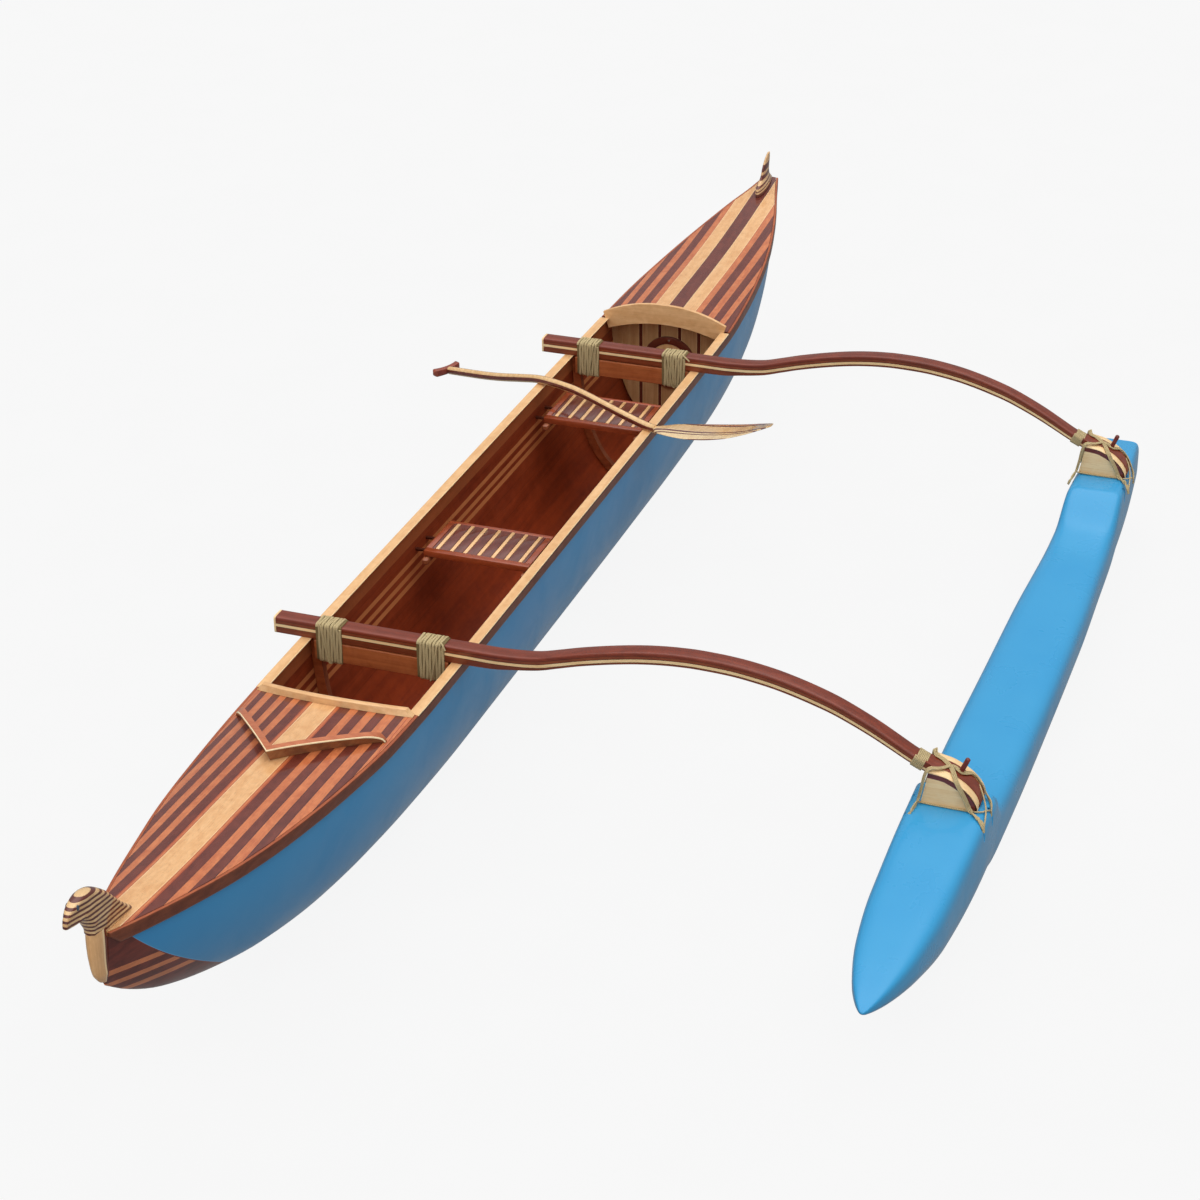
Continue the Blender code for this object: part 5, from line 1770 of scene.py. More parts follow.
    def add_top_layer(self, skin: Skin, x: float) -> None:
        """The beam's top layer, from the beam's end down the block's outboard end.

        Args:
            skin: the block.
            x: its middle, fore and aft.
        """
        line = [(0.0, 1.600, self.top(1.600) - 0.0005)] + \
            [(0.0, y, z) for y, z in self.block_top[:-1]] + [(0.0, 1.7785, 0.3385)]
        path = faired_path(line, 60)
        rings = []
        for i, p in enumerate(path):
            along = (path[min(i + 1, 59)] - path[max(i - 1, 0)]).normalized()
            out = Vector((0.0, -along.z, along.y))
            half = 0.5 * self.wide
            thick = 0.0030 * ease(0.0, 6.0, float(i)) + 0.0002
            ring = []
            for across, lift in ((-half, -0.003), (-half, thick - 0.001),
                                 (-half + 0.001, thick), (half - 0.001, thick),
                                 (half, thick - 0.001), (half, -0.003)):
                q = p + out * lift
                ring.append((x + across, q.y, q.z))
            rings.append(ring)
        skin.rows(rings, finish=0)

    def build_peg(self, word: str, x: float, finish: Material) -> None:
        """The round-topped peg that leans outboard out of the block.

        Args:
            word: which crossbeam.
            x: its middle.
            finish: the peg's wood.
        """
        foot, head = (Vector((x + a, y, z)) for a, y, z in self.peg)
        axis = (head - foot).normalized()
        skin = Skin(f"{word}_block_peg")
        r = self.peg_radius
        rings = [tube_rings([foot, head], r, 24)[0]]
        for angle in (0, 20, 40, 60, 75, 86):
            turn = math.radians(angle)
            at = head + axis * 0.75 * r * (math.sin(turn) - 1.0)
            rings.append(tube_rings([at, at + axis * 0.01], r * math.cos(turn), 24)[0])
        skin.rows(rings)
        skin.make((finish,), (f"{word}_peg",), slot="red_wood", crease=60.0)

    def build_whipping(self, word: str, x: float, cord: Material) -> None:
        """Seven turns of cord round the beam just before the block.

        Args:
            word: front or rear.
            x: its middle, fore and aft.
            cord: the finish.
        """
        steps = self.whipping_steps
        total = self.whipping_turns * steps
        start, end = self.whipping
        path = []
        for k in range(total + 1):
            y = start + (end - start) * k / total
            ring = self.ring(x, y, 0.0024)
            place = (k % steps) / steps * len(ring)
            a, b = ring[int(place) % len(ring)], ring[(int(place) + 1) % len(ring)]
            path.append(Vector(a).lerp(Vector(b), place - int(place)))
        skin = Skin(f"{word}_beam_whipping")
        skin.rows(tube_rings(path, self.whipping_radius, 8, 0.85, Vector((0.0, 1.0, 0.0))))
        skin.make((cord,), (f"{word}_whipping",), slot="cord", crease=70.0)

    def build_lashing(self, word: str, x: float, side: str, ends: Flat,
                      cord: Material, shade: Material) -> None:
        """Flat turns of cord round the beam and the brace, with one turn slanting over them.

        Args:
            word: which crossbeam.
            x: its middle.
            side: port or starboard.
            ends: the turns' first and last y.
            cord: the finish.
            shade: the dark sleeve under the turns that shows between them as painted shade.
        """
        wide, thick = self.cord_wide, self.cord_thick
        near, far = x + self.cord_reach[0] - 0.003, x + self.cord_reach[1] + 0.003
        low, high = self.brace_low - 0.0036, self.path[0][1] + 0.0036
        turns = int(round((ends[1] - ends[0]) / wide))
        start, end = ends[0] + 0.5 * wide, ends[1] - 0.5 * wide
        loop = self.loop(near, far, low, high, 0.009)
        path = []
        total = (turns - 1) * len(loop)
        for k in range(total + 1):
            cx, cz = loop[k % len(loop)]
            sway = 0.0009 * math.sin(2.3 * (k // len(loop)) + 55.0 * (cz + cx) + 3.0 * x)
            path.append(Vector((cx, start + (end - start) * k / total + sway, cz)))
        skin = Skin(f"{word}_hull_lashing_{side}")
        skin.rows(tube_rings(path, 0.5 * wide - 0.0004, 10, thick / wide, Vector((0, 1, 0))))
        # A dark sleeve under the turns, so that the gaps between them show painted shade.
        under = self.loop(near + 0.001, far - 0.001, low + 0.0012, high - 0.0012, 0.008)
        skin.rows([[(cx, y, cz) for cx, cz in under] for y in (ends[0] + 0.001,
                                                              ends[1] - 0.001)], finish=1)
        over = self.loop(near - 0.004, far + 0.004, low - 0.002, high + 0.004, 0.010)
        first = len(over) // 2
        slant = -1.0 if (word == "front") == (side == "starboard") else 1.0
        strand = []
        for k in range(len(over) // 2 + 6):
            cx, cz = over[(first + k - 3) % len(over)]
            share = k / (len(over) // 2 + 5)
            y = 0.5 * (start + end) + slant * (share - 0.5) * 0.7 * (end - start)
            strand.append(Vector((cx, y, cz)))
        skin.rows(tube_rings(strand, 0.0034, 8, 0.75))
        self.add_loose_end(skin, word, side, x, end)
        skin.make((cord, shade), (f"{word}_lashing_{side}",), slot="cord", crease=70.0)

    def add_loose_end(self, skin: Skin, word: str, side: str, x: float, end: float) -> None:
        """A short end of cord that stands out of a port lashing.

        Args:
            skin: the lashing.
            word: front or rear.
            side: port or starboard.
            x: the beam's middle.
            end: the y where the turns end.
        """
        if side != "port":
            return
        reach = 0.010 if word == "front" else 0.022
        line = [(x + 0.020, end - 0.010, 0.5605), (x + 0.030, end, 0.5600),
                (x + 0.034, end + 0.5 * reach, 0.5540), (x + 0.034, end + reach, 0.5440)]
        skin.rows(tube_rings(faired_path(line, 14), 0.0028, 8, 0.7))

    @staticmethod
    def loop(near: float, far: float, low: float, high: float, r: float) -> list[Flat]:
        """Rounded rectangle in X and Z, as one turn of cord.

        Args:
            near: its lowest x.
            far: its highest x.
            low: its lowest z.
            high: its highest z.
            r: radius of its corners.

        Returns:
            Its points, 12 to 24 mm apart on the straight runs.
        """
        points = rounded_box(near, far, low, high, r, (0, 22.5, 45, 67.5, 90))
        dense = []
        for a, b in zip(points, points[1:] + points[:1]):
            many = max(1, int(math.hypot(b[0] - a[0], b[1] - a[1]) / 0.012))
            dense += [(a[0] + (b[0] - a[0]) * k / many, a[1] + (b[1] - a[1]) * k / many)
                      for k in range(many)]
        return dense

    def build_crossing(self, word: str, x: float, cord: Material) -> None:
        """The cords that cross over the block and end in the float's recesses.

        Args:
            word: which crossbeam.
            x: its middle.
            cord: the finish.
        """
        across = 0.008 if word == "rear" else 0.0
        skin = Skin(f"{word}_crossing_cords")
        for line, shifts in self.crossing:
            moved = [Vector((x + a, y - across * ease(1.78, 1.81, y), z)) for a, y, z in line]
            path = faired_path(moved, 72)
            middle = Vector((x, 1.70, 0.36))
            for shift in shifts:
                strand = []
                for i, p in enumerate(path):
                    along = path[min(i + 1, 71)] - path[max(i - 1, 0)]
                    aside = along.cross(p - middle).normalized()
                    close = ease(0.0, 5.0, float(min(i, 71 - i))) * 0.6 + 0.4
                    strand.append(p + aside * shift * close)
                skin.rows(tube_rings(strand, self.strand_radius, 8))
        skin.make((cord,), (f"{word}_ama_lashing",), slot="cord", crease=70.0)


def wear(node: str, finish: Material) -> None:
    """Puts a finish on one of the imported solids, whose shape is kept.

    Args:
        node: the solid's name.
        finish: what it wears.
    """
    solid = FRAME["nodes"][node]
    solid.data.materials.clear()
    solid.data.materials.append(finish)
    log.info("%s: packed solid, %s", node, finish.name)


@dataclass
class Float:
    """The float on the port side, with two raised pads and the recesses for the cords.

    Each row of the table holds x, half-breadth, top, bottom, height of the widest line as a
    share of the depth, the powers of the roundings above and below that line, and the y of
    the middle.
    """

    table: tuple[tuple[float, ...], ...] = (
        (-1.375, 0.0700, 0.3262, 0.060, 0.62, 7.0, 1.86, 1.7035),
        (-1.210, 0.0820, 0.3338, 0.022, 0.62, 7.5, 1.86, 1.7025),
        (-1.100, 0.0895, 0.3344, 0.008, 0.62, 8.0, 1.86, 1.7005),
        (-0.950, 0.0955, 0.3330, 0.001, 0.63, 7.0, 1.86, 1.7000),
        (-0.790, 0.1000, 0.2640, 0.000, 0.65, 4.6, 1.86, 1.6990),
        (-0.600, 0.1062, 0.2430, 0.000, 0.66, 4.2, 1.86, 1.6970),
        (-0.220, 0.1183, 0.2400, 0.000, 0.66, 4.2, 1.87, 1.6960),
        (0.200, 0.1215, 0.2450, 0.000, 0.66, 4.2, 1.90, 1.6970),
        (0.600, 0.1236, 0.2540, 0.000, 0.66, 4.2, 1.97, 1.6968),
        (0.900, 0.1213, 0.2620, 0.000, 0.66, 4.2, 2.01, 1.6970),
        (1.000, 0.1200, 0.2760, 0.000, 0.65, 4.6, 2.01, 1.6975),
        (1.034, 0.1195, 0.3344, 0.001, 0.62, 7.5, 2.01, 1.6978),
        (1.200, 0.1182, 0.3344, 0.011, 0.62, 7.0, 2.01, 1.6985),
        (1.540, 0.1117, 0.3225, 0.077, 0.62, 4.6, 2.04, 1.6975),
        (1.760, 0.0905, 0.3080, 0.152, 0.60, 4.2, 2.15, 1.6960),
        (1.914, 0.0585, 0.2950, 0.207, 0.58, 4.2, 2.15, 1.6965),
        (2.002, 0.0285, 0.2830, 0.243, 0.56, 4.2, 2.12, 1.6980),
        (2.043, 0.0070, 0.2720, 0.262, 0.50, 4.2, 2.10, 1.6988),
    )
    recesses: tuple[tuple[Flat, Flat], ...] = (
        ((1.2035, 0.3165), (1.2075, 0.2860)), ((1.1086, 0.3190), (1.1136, 0.2858)),
        ((-0.9965, 0.3165), (-0.9925, 0.2860)), ((-1.0914, 0.3190), (-1.0864, 0.2858)),
    )
    recess_deep: float = 0.016
    around: int = 140
    nose: float = 0.012

    def build(self) -> None:
        """Builds the float as one fine loft."""
        paint = Enamel(name="float paint", rough=0.32, coat=0.4, coat_rough=0.05,
                       colour=tone(51, 149, 202), faded=tone(58, 154, 204)).make()
        columns = [Fair(self.table, c) for c in range(1, 8)]
        first, last = self.table[0][0], self.table[-1][0]
        xs = set(even(100, first, last)) | set(even(28, last - 0.10, last))
        for x0 in (1.10, -1.10):
            xs |= set(even(84, x0 - 0.02, x0 + 0.17))
        rings = []
        ordered = sorted(xs)
        kept = [ordered[0]] + [b for a, b in zip(ordered, ordered[1:]) if b - a > 0.0006]
        for x in kept:
            half, top, low, share, power, under, middle = (f(x) for f in columns)
            nose = max(0.0, (x - (last - self.nose)) / self.nose)
            small = 0.3 + 0.7 * math.sqrt(max(0.0, 1.0 - nose * nose))
            wide = low + (top - low) * share
            ring = []
            for angle in turns(self.around):
                up = math.sin(angle)
                bend = 2.0 / (power if up > 0 else under)
                reach = ((top - wide) if up > 0 else (wide - low)) * small
                across = half * signed_power(math.cos(angle), bend) * small
                z = wide + reach * signed_power(up, bend)
                across -= math.copysign(self.sunk(x, z), across) if abs(across) > 0.05 else 0.0
                ring.append((x, middle + across, z))
            rings.append(ring)
        Skin("float_hull").rows(rings).make((paint,), ("ama",), slot="blue_paint", crease=55.0)

    def sunk(self, x: float, z: float) -> float:
        """How far a recess for the cords draws the side in at a point.

        Args:
            x: fore and aft.
            z: the height.

        Returns:
            The depth, 0 away from a recess.
        """
        deepest = 0.0
        for a, b in self.recesses:
            if abs(x - a[0]) > 0.06:
                continue
            gap, t = off_stretch((x, z), a, b)
            wide = 0.0075 - 0.0030 * t
            deepest = max(deepest, self.recess_deep * (1.0 - ease(0.5 * wide, 1.25 * wide, gap)))
        return deepest


@dataclass
class EndPieces:
    """The bird's head on the bow and the tail on the stern, both of glued layers."""

    form: HullForm
    foot: float = 0.6274
    flank: float = 0.55
    outline: tuple[Flat, ...] = (
        (2.6333, 0.6000), (2.6560, 0.6200), (2.6803, 0.6450), (2.7060, 0.6741),
        (2.7329, 0.7045), (2.7540, 0.7240), (2.7775, 0.7421), (2.7980, 0.7525),
        (2.8220, 0.7590), (2.8500, 0.7605), (2.8760, 0.7550), (2.8960, 0.7440),
        (2.9080, 0.7300), (2.9135, 0.7160), (2.9130, 0.7069), (2.8965, 0.7008),
        (2.8720, 0.6962), (2.8492, 0.6939), (2.8380, 0.6840), (2.8290, 0.6674),
        (2.8205, 0.6480), (2.8180, 0.6400), (2.8172, 0.6330), (2.8180, 0.6274),
    )
    spine: tuple[Point, ...] = (
        (2.7200, 0.6141, 0.0205), (2.7550, 0.6600, 0.0235), (2.7900, 0.7000, 0.0240),
        (2.8350, 0.7280, 0.0200), (2.8700, 0.7320, 0.0150), (2.9000, 0.7220, 0.0085),
        (2.9120, 0.7120, 0.0065),
    )
    grid: float = 0.0032
    rims: tuple[float, ...] = (0.0003, 0.0009, 0.0018, 0.0030)
    eye: Flat = (2.8700, 0.7445)
    tail: tuple[tuple[float, float, float, float], ...] = (
        (0.6290, -2.7860, -2.5960, 0.0190), (0.6340, -2.7800, -2.6080, 0.0180),
        (0.6430, -2.7680, -2.6280, 0.0150), (0.6550, -2.7560, -2.6480, 0.0115),
        (0.6700, -2.7520, -2.6600, 0.0095), (0.6880, -2.7540, -2.6700, 0.0085),
        (0.7060, -2.7600, -2.6860, 0.0075), (0.7220, -2.7640, -2.7060, 0.0060),
        (0.7360, -2.7640, -2.7340, 0.0040),
    )

    def build(self) -> None:
        """Builds the head, its eyes and the tail."""
        self.build_head()
        self.build_tail()

    def build_head(self) -> None:
        """The head: its outline filled on both sides and swelled towards its middle."""
        layers = Laminate(
            name="head layers", light=tone(232, 196, 146), dark=tone(208, 164, 112),
            pores=tone(150, 100, 60), layer=tone(104, 50, 40), layer_dark=tone(80, 34, 28),
            axis=(-0.16, 0.0, 1.0), start=0.6105 - 0.16 * 2.8, pitch=0.0135, dark_share=0.46,
            rough=0.34, coat=0.7, across=60.0).make()
        eye = Enamel(name="eye inlay", rough=0.3, coat=0.8, coat_rough=0.05,
                     colour=tone(54, 66, 84), faded=tone(70, 84, 104)).make()
        path = faired_path([(x, 0.0, z) for x, z in self.outline], 180)
        self.edge = [(p.x, p.z) for p in path]
        step = self.form.bow_x + GAP
        foot = [(x, self.foot) for x in even(9, self.edge[-1][0], step)]
        foot += [(x, self.form.deck_top(x, 0.0) + 0.0006) for x in even(24, step, self.edge[0][0])]
        ring = self.edge + foot[1:-1]
        points = ring + self.inner_points(ring)
        area = sum(a[0] * b[1] - b[0] * a[1] for a, b in zip(ring, ring[1:] + ring[:1]))
        order = list(range(len(ring)))
        spots, _, faces, *_ = geometry.delaunay_2d_cdt(
            [Vector(p) for p in points], [], [order if area > 0 else order[::-1]], 1, 1e-7)
        skin = Skin("bow_bird")
        for side in (1, -1):
            start = len(skin.points)
            skin.points += [(p.x, side * self.half_at(p.x, p.y), p.y) for p in spots]
            for face in faces:
                skin.face([start + k for k in face])
        under = [self.edge[-1]] + foot[1:-1] + [self.edge[0]]
        skin.rows([[(x, side * self.half_at(x, z), z) for x, z in under] for side in (1, -1)],
                  closed=False)
        for side in (-1, 1):
            self.add_eye(skin, side)
        skin.make((layers, eye), ("bird_head",), slot="light_wood", crease=50.0)

    def inner_points(self, ring: Sequence[Flat]) -> list[Flat]:
        """Points inside the head's outline: rows along its edge and an even grid.

        Args:
            ring: the closed outline.

        Returns:
            The points, none nearer than a quarter of a step to the outline.
        """
        found = []
        for depth in self.rims:
            for i in range(0, len(self.edge), 1 if depth < 0.002 else 2):
                p = drawn_aside(self.edge, i, depth)
                if self.inside(p, ring) and self.nearest(p) > 0.9 * depth:
                    found.append(p)
        low_x, high_x = min(p[0] for p in ring), max(p[0] for p in ring)
        low_z, high_z = min(p[1] for p in ring), max(p[1] for p in ring)
        for i in range(int((high_x - low_x) / self.grid)):
            for j in range(int((high_z - low_z) / self.grid)):
                p = (low_x + (i + 0.5 * (j % 2)) * self.grid, low_z + j * self.grid)
                if self.inside(p, ring) and self.nearest(p) > self.rims[-1] + 0.3 * self.grid:
                    found.append(p)
        return found

    @staticmethod
    def inside(p: Flat, ring: Sequence[Flat]) -> bool:
        """Whether a point lies within a closed outline.

        Args:
            p: the point.
            ring: the outline.

        Returns:
            True if it does.
        """
        odd = False
        for a, b in zip(ring, list(ring[1:]) + [ring[0]]):
            if (a[1] > p[1]) != (b[1] > p[1]):
                odd ^= p[0] < a[0] + (p[1] - a[1]) / (b[1] - a[1]) * (b[0] - a[0])
        return odd

    def nearest(self, p: Flat) -> float:
        """Distance from a point to the head's edge, its foot left out."""
        return min(off_stretch(p, a, b)[0] for a, b in zip(self.edge, self.edge[1:]))

    def half_at(self, x: float, z: float) -> float:
        """Half thickness of the head at a point of its side.

        Args:
            x: fore and aft.
            z: the height.

        Returns:
            The half thickness, 0 at the edge.
        """
        best, most = 1.0, 0.0
        for a, b in zip(self.spine, self.spine[1:]):
            gap, t = off_stretch((x, z), a, b)
            if gap < best:
                best, most = gap, a[2] + t * (b[2] - a[2])
        most *= 1.0 - 0.36 * ease(2.765, 2.815, x) * (1.0 - ease(0.635, 0.675, z))
        short = 1.0 - min(self.nearest((x, z)) / (self.flank * most), 1.0)
        return most * math.sqrt(max(1.0 - short * short, 0.0))

    def add_eye(self, skin: Skin, side: int) -> None:
        """A low oval eye on one cheek.

        Args:
            skin: the head.
            side: 1 for port, -1 for starboard.
        """
        rings = []
        for share, lift in ((1.0, -0.003), (1.0, 0.0003), (0.86, 0.0011), (0.5, 0.0016),
                            (0.05, 0.0018)):
            ring = []
            for angle in turns(24):
                x = self.eye[0] + 0.0052 * share * math.cos(angle)
                z = self.eye[1] + 0.0078 * share * math.sin(angle)
                ring.append((x, side * (self.half_at(x, z) + lift), z))
            rings.append(ring)
        skin.rows(rings, finish=1)

    def build_tail(self) -> None:
        """The thin upright tail, its layers tilted."""
        light, dark = ("light", tone(226, 186, 138), tone(204, 158, 108)), \
            ("dark", tone(112, 52, 40), tone(84, 36, 28))
        layers = Strips(
            name="tail layers", woods=(light, dark), pores=tone(80, 36, 26),
            axis=(0.12, 0.0, 1.0), start=0.6150 - 0.12 * 2.73, both_sides=False,
            bands=((0.010, "dark"), (0.017, "light"), (0.022, "dark"), (0.030, "light"),
                   (0.036, "dark"), (0.046, "light"), (0.062, "dark"), (0.072, "light"),
                   (0.094, "dark"), (0.30, "light")),
            rough=0.34, coat=0.7, across=60.0).make()
        aft, fore, half = (Fair(self.tail, column) for column in (1, 2, 3))
        rings = []
        for z in even(50, self.tail[0][0], self.tail[-1][0]):
            ring = []
            for angle in turns(40):
                x = 0.5 * (aft(z) + fore(z)) + 0.5 * (fore(z) - aft(z)) * math.cos(angle)
                ring.append((x, half(z) * math.sin(angle), z))
            rings.append(ring)
        foot = [(x, y, self.form.deck_top(x, y) + 0.0011) for x, y, _ in rings[0]]
        Skin("stern_tail").rows([foot] + rings).make(
            (layers,), ("tail_piece",), slot="dark_wood", crease=60.0)


@dataclass
class Cockpit:
    """Inside of the hull: bulkheads with their hatches, ribs, seats and cleats."""

    form: HullForm
    bulkhead_x: float = 1.507
    hatch_z: float = 0.332
    cover_radius: float = 0.0728
    cover_proud: float = 0.0070
    cover_deep: float = 0.0100
    ring_outer: float = 0.1016
    ring_inner: float = 0.0735
    ring_thick: float = 0.010
    iako_wide: float = 0.050
    rib_ahead: float = 0.004
    rib_thick: float = 0.024
    rib_deep: float = 0.030
    rib_skin: float = 0.0020
    seats: tuple[tuple[str, float, float], ...] = (
        ("front", 0.1727, 0.3970), ("rear", -0.8930, -0.6640))
    seat_top: float = 0.4444
    seat_thick: float = 0.022
    seat_half: float = 0.1775
    seat_rail: float = 0.026
    seat_side: float = 0.020
    inlays: tuple[float, ...] = (-0.140, -0.092, -0.047, 0.0, 0.047, 0.092, 0.140)

    def build(self) -> None:
        """Builds everything inside the hull."""
        self.build_bulkheads()
        self.build_ribs()
        self.build_seats()

    def build_bulkheads(self) -> None:
        """Striped bulkheads, each with a ring, its screws and a cover."""
        woods = (
            ("maple", tone(206, 166, 118), tone(184, 140, 92)),
            ("cream", tone(228, 196, 148), tone(214, 178, 128)),
            ("dark", tone(104, 50, 36), tone(80, 36, 26)),
        )
        bands = ((0.030, "maple"), (0.032, "cream"), (0.044, "dark"), (0.046, "cream"),
                 (0.104, "maple"), (0.106, "cream"), (0.119, "dark"), (0.121, "cream"),
                 (0.30, "maple"))
        wall = Strips(name="bulkhead strips", woods=woods, bands=bands, pores=tone(120, 70, 44),
                      grain=Grain.UPRIGHT, solid=True, across=40.0, rough=0.4, coat=0.5).make()
        ring = timber("hatch ring wood", tones((116, 56, 40), (88, 40, 28), (50, 20, 14)),
                      Grain.ACROSS, rough=0.36, coat=0.6)
        cover = timber("hatch cover maple", MAPLE, Grain.UPRIGHT, across=46.0, rough=0.36,
                       coat=0.5)
        screw = Metal(name="screw heads", rough=0.32, coat=0.0, colour=tone(196, 190, 180)).make()
        for end, word in ((1, "bow"), (-1, "stern")):
            wear(f"{word}_bulkhead", wall)
            self.build_ring(end, word, ring, screw)
            self.build_cover(end, word, cover)

    def turned(self, skin: Skin, x: float, facing: int, profile: Sequence[Flat],
               finish: int = 0, closed: bool = True) -> None:
        """Adds a turned form whose axis runs fore and aft.

        Args:
            skin: the piece.
            x: the plane that heights are measured from.
            facing: 1 if it faces the bow, -1 the stern.
            profile: radius and height of each point.
            finish: which material it wears.
            closed: whether the profile's last point joins its first.
        """
        rows = []
        for k in range(129):
            angle = 2.0 * math.pi * k / 128
            rows.append([(x + facing * height, radius * math.cos(angle),
                          self.hatch_z + radius * math.sin(angle)) for radius, height in profile])
        skin.rows(rows, closed=closed, finish=finish, caps=False)

    def build_ring(self, end: int, word: str, finish: Material,
                   screw: Material) -> None:
        """The dark ring round a hatch, with its screws.

        Args:
            end: 1 for the bow, -1 for the stern.
            word: bow or stern.
            finish: its wood.
            screw: the metal of its screws.
        """
        x = end * (self.bulkhead_x - GAP)
        outer, inner, thick = self.ring_outer, self.ring_inner, self.ring_thick
        skin = Skin(f"{word}_hatch_trim")
        self.turned(skin, x, -end, (
            (outer, 0.0), (outer, thick - 0.004), (outer - 0.0012, thick - 0.0012),
            (outer - 0.004, thick), (inner + 0.003, thick), (inner + 0.0008, thick - 0.0009),
            (inner, thick - 0.003), (inner, 0.0)))
        for k in range(6):
            angle = math.radians(90 + 60 * k)
            middle = 0.5 * (outer + inner)
            cy, cz = middle * math.cos(angle), self.hatch_z + middle * math.sin(angle)
            rings = []
            for radius, height in ((0.0044, thick - 0.001), (0.0044, thick + 0.0002),
                                   (0.0036, thick + 0.0007), (0.0006, thick + 0.0009)):
                rings.append([(x - end * height, cy + radius * math.cos(a),
                               cz + radius * math.sin(a))
                              for a in turns(16)])
            skin.rows(rings, finish=1)
        skin.make((finish, screw), (f"{word}_hatch_ring",), slot="dark_wood", crease=40.0)

    def build_cover(self, end: int, word: str, finish: Material) -> None:
        """The round cover that pulls out of its ring.

        Args:
            end: 1 for the bow, -1 for the stern.
            word: bow or stern.
            finish: its wood.
        """
        front = end * (self.bulkhead_x - GAP)
        radius = self.cover_radius
        skin = Skin(f"{word}_hatch_lid")
        deep = self.cover_deep + GAP
        self.turned(skin, front, -end, (
            (0.0005, -deep), (radius, -deep), (radius, self.cover_proud - 0.0025),
            (radius - 0.0008, self.cover_proud - 0.0006), (radius - 0.0025, self.cover_proud),
            (0.022, self.cover_proud), (0.020, self.cover_proud - 0.0016),
            (0.0005, self.cover_proud - 0.0016)), closed=False)
        skin.make((finish,), (f"{word}_hatch_cover",), body=f"{word}_hatch", slot="light_wood",
                  crease=40.0)

    def build_ribs(self) -> None:
        """Laminated ribs round the inside of the hull under each crossbeam."""
        rib = timber("rib wood", tones((168, 88, 46), (138, 64, 32), (84, 34, 16)),
                     Grain.ACROSS, across=60.0, rough=0.42, coat=0.4)
        edge = timber("rib edge", tones((140, 80, 52), (112, 58, 38), (70, 32, 22)),
                      Grain.ACROSS, across=60.0, rough=0.42, coat=0.4)
        for word, x in (("front", 1.1), ("rear", -1.1)):
            near = x - 0.5 * self.iako_wide + self.rib_ahead
            far = near + self.rib_thick
            top = self.form.sheer(0.5 * (near + far)) - self.form.deck_thick - 0.003
            lines = []
            for skin_gap in (self.rib_skin, self.rib_skin + self.rib_deep):
                low = max(self.form.keel(near), self.form.keel(far)) + self.form.keel_skin \
                    + skin_gap
                line = []
                for k in range(-36, 37):
                    share = math.sin(0.5 * math.pi * abs(k) / 36) ** 1.6
                    z = low + (top - low) * share
                    half = min(self.form.inner_half(near, z, skin_gap),
                               self.form.inner_half(far, z, skin_gap))
                    line.append((math.copysign(half, k) if k else 0.0, z))
                lines.append(line)
            rings = [[(near, *o), (far, *o), (far, *i), (near, *i)]
                     for o, i in zip(lines[0], lines[1])]
            Skin(f"{word}_rib").rows(rings, finish_at=lambda i, j: 1 if j == 2 else 0).make(
                (rib, edge), (f"{word}_frame",), slot="dark_wood", crease=50.0)

    def bar(self, skin: Skin, low: Point, high: Point, r: float = 0.002, finish: int = 0) -> None:
        """Adds a bar with rounded long edges, along its longer flat side.

        Args:
            skin: the piece.
            low: its lowest corner.
            high: its highest corner.
            r: the rounding.
            finish: which material it wears.
        """
        fore_and_aft = high[0] - low[0] > high[1] - low[1]
        a, b = (1, 0) if fore_and_aft else (0, 1)
        section = rounded_box(low[a], high[a], low[2], high[2], r, (0, 45, 90))
        rings = []
        for at, draw in ((low[b], 0.6 * r), (low[b] + 0.6 * r, 0.0),
                         (high[b] - 0.6 * r, 0.0), (high[b], 0.6 * r)):
            ring = []
            for p, z in section:
                p = min(max(p, low[a] + draw), high[a] - draw)
                z = min(max(z, low[2] + draw), high[2] - draw)
                ring.append((at, p, z) if fore_and_aft else (p, at, z))
            rings.append(ring)
        skin.rows(rings, finish=finish)

    def build_seats(self) -> None:
        """Two slatted seats with maple inlays, on cleats along the hull's sides."""
        frame = timber("seat frame", tones((156, 70, 34), (126, 52, 26), (74, 28, 14)),
                       Grain.ACROSS, across=50.0, rough=0.36, coat=0.6)
        slat = timber("seat slats", tones((108, 50, 38), (84, 36, 28), (48, 18, 14)),
                      across=60.0, rough=0.38, coat=0.6)
        maple = timber("seat inlay", MAPLE, across=60.0, **SATIN)
        cleat = timber("cleat wood", tones((150, 84, 50), (124, 64, 38), (70, 32, 20)),
                       across=50.0, rough=0.42, coat=0.4)
        under = timber("cleat bracket", tones((84, 36, 20), (66, 26, 14), (40, 14, 8)),
                       across=50.0, rough=0.5, coat=0.1)
        rail, side = self.seat_rail, self.seat_side
        top, low = self.seat_top, self.seat_top - self.seat_thick
        for word, aft, fore in self.seats:
            skin = Skin(f"{word}_slatted_seat")
            half = self.seat_half
            self.bar(skin, (fore - rail, -half, low), (fore, half, top), 0.004)
            self.bar(skin, (aft, -half, low), (aft + 0.7 * rail, half, top), 0.004)
            for y in (-half, half - side):
                self.bar(skin, (aft + 0.7 * rail - 0.001, y, low),
                         (fore - rail + 0.001, y + side, top), 0.002)
            edges = [-half + side] + [e for y in self.inlays for e in (y - 0.0065, y + 0.0065)] \
                + [half - side]
            start, end = aft + 0.7 * rail, fore - rail
            for a, b in zip(edges[::2], edges[1::2]):
                self.bar(skin, (start - 0.001, a + 0.0008, low + 0.003),
                         (end + 0.001, b - 0.0008, top - 0.0004), 0.0014, 1)
            for y in self.inlays:
                self.bar(skin, (start - 0.001, y - 0.0058, low + 0.004),
                         (end + 0.001, y + 0.0058, top - 0.0001), 0.0010, 2)
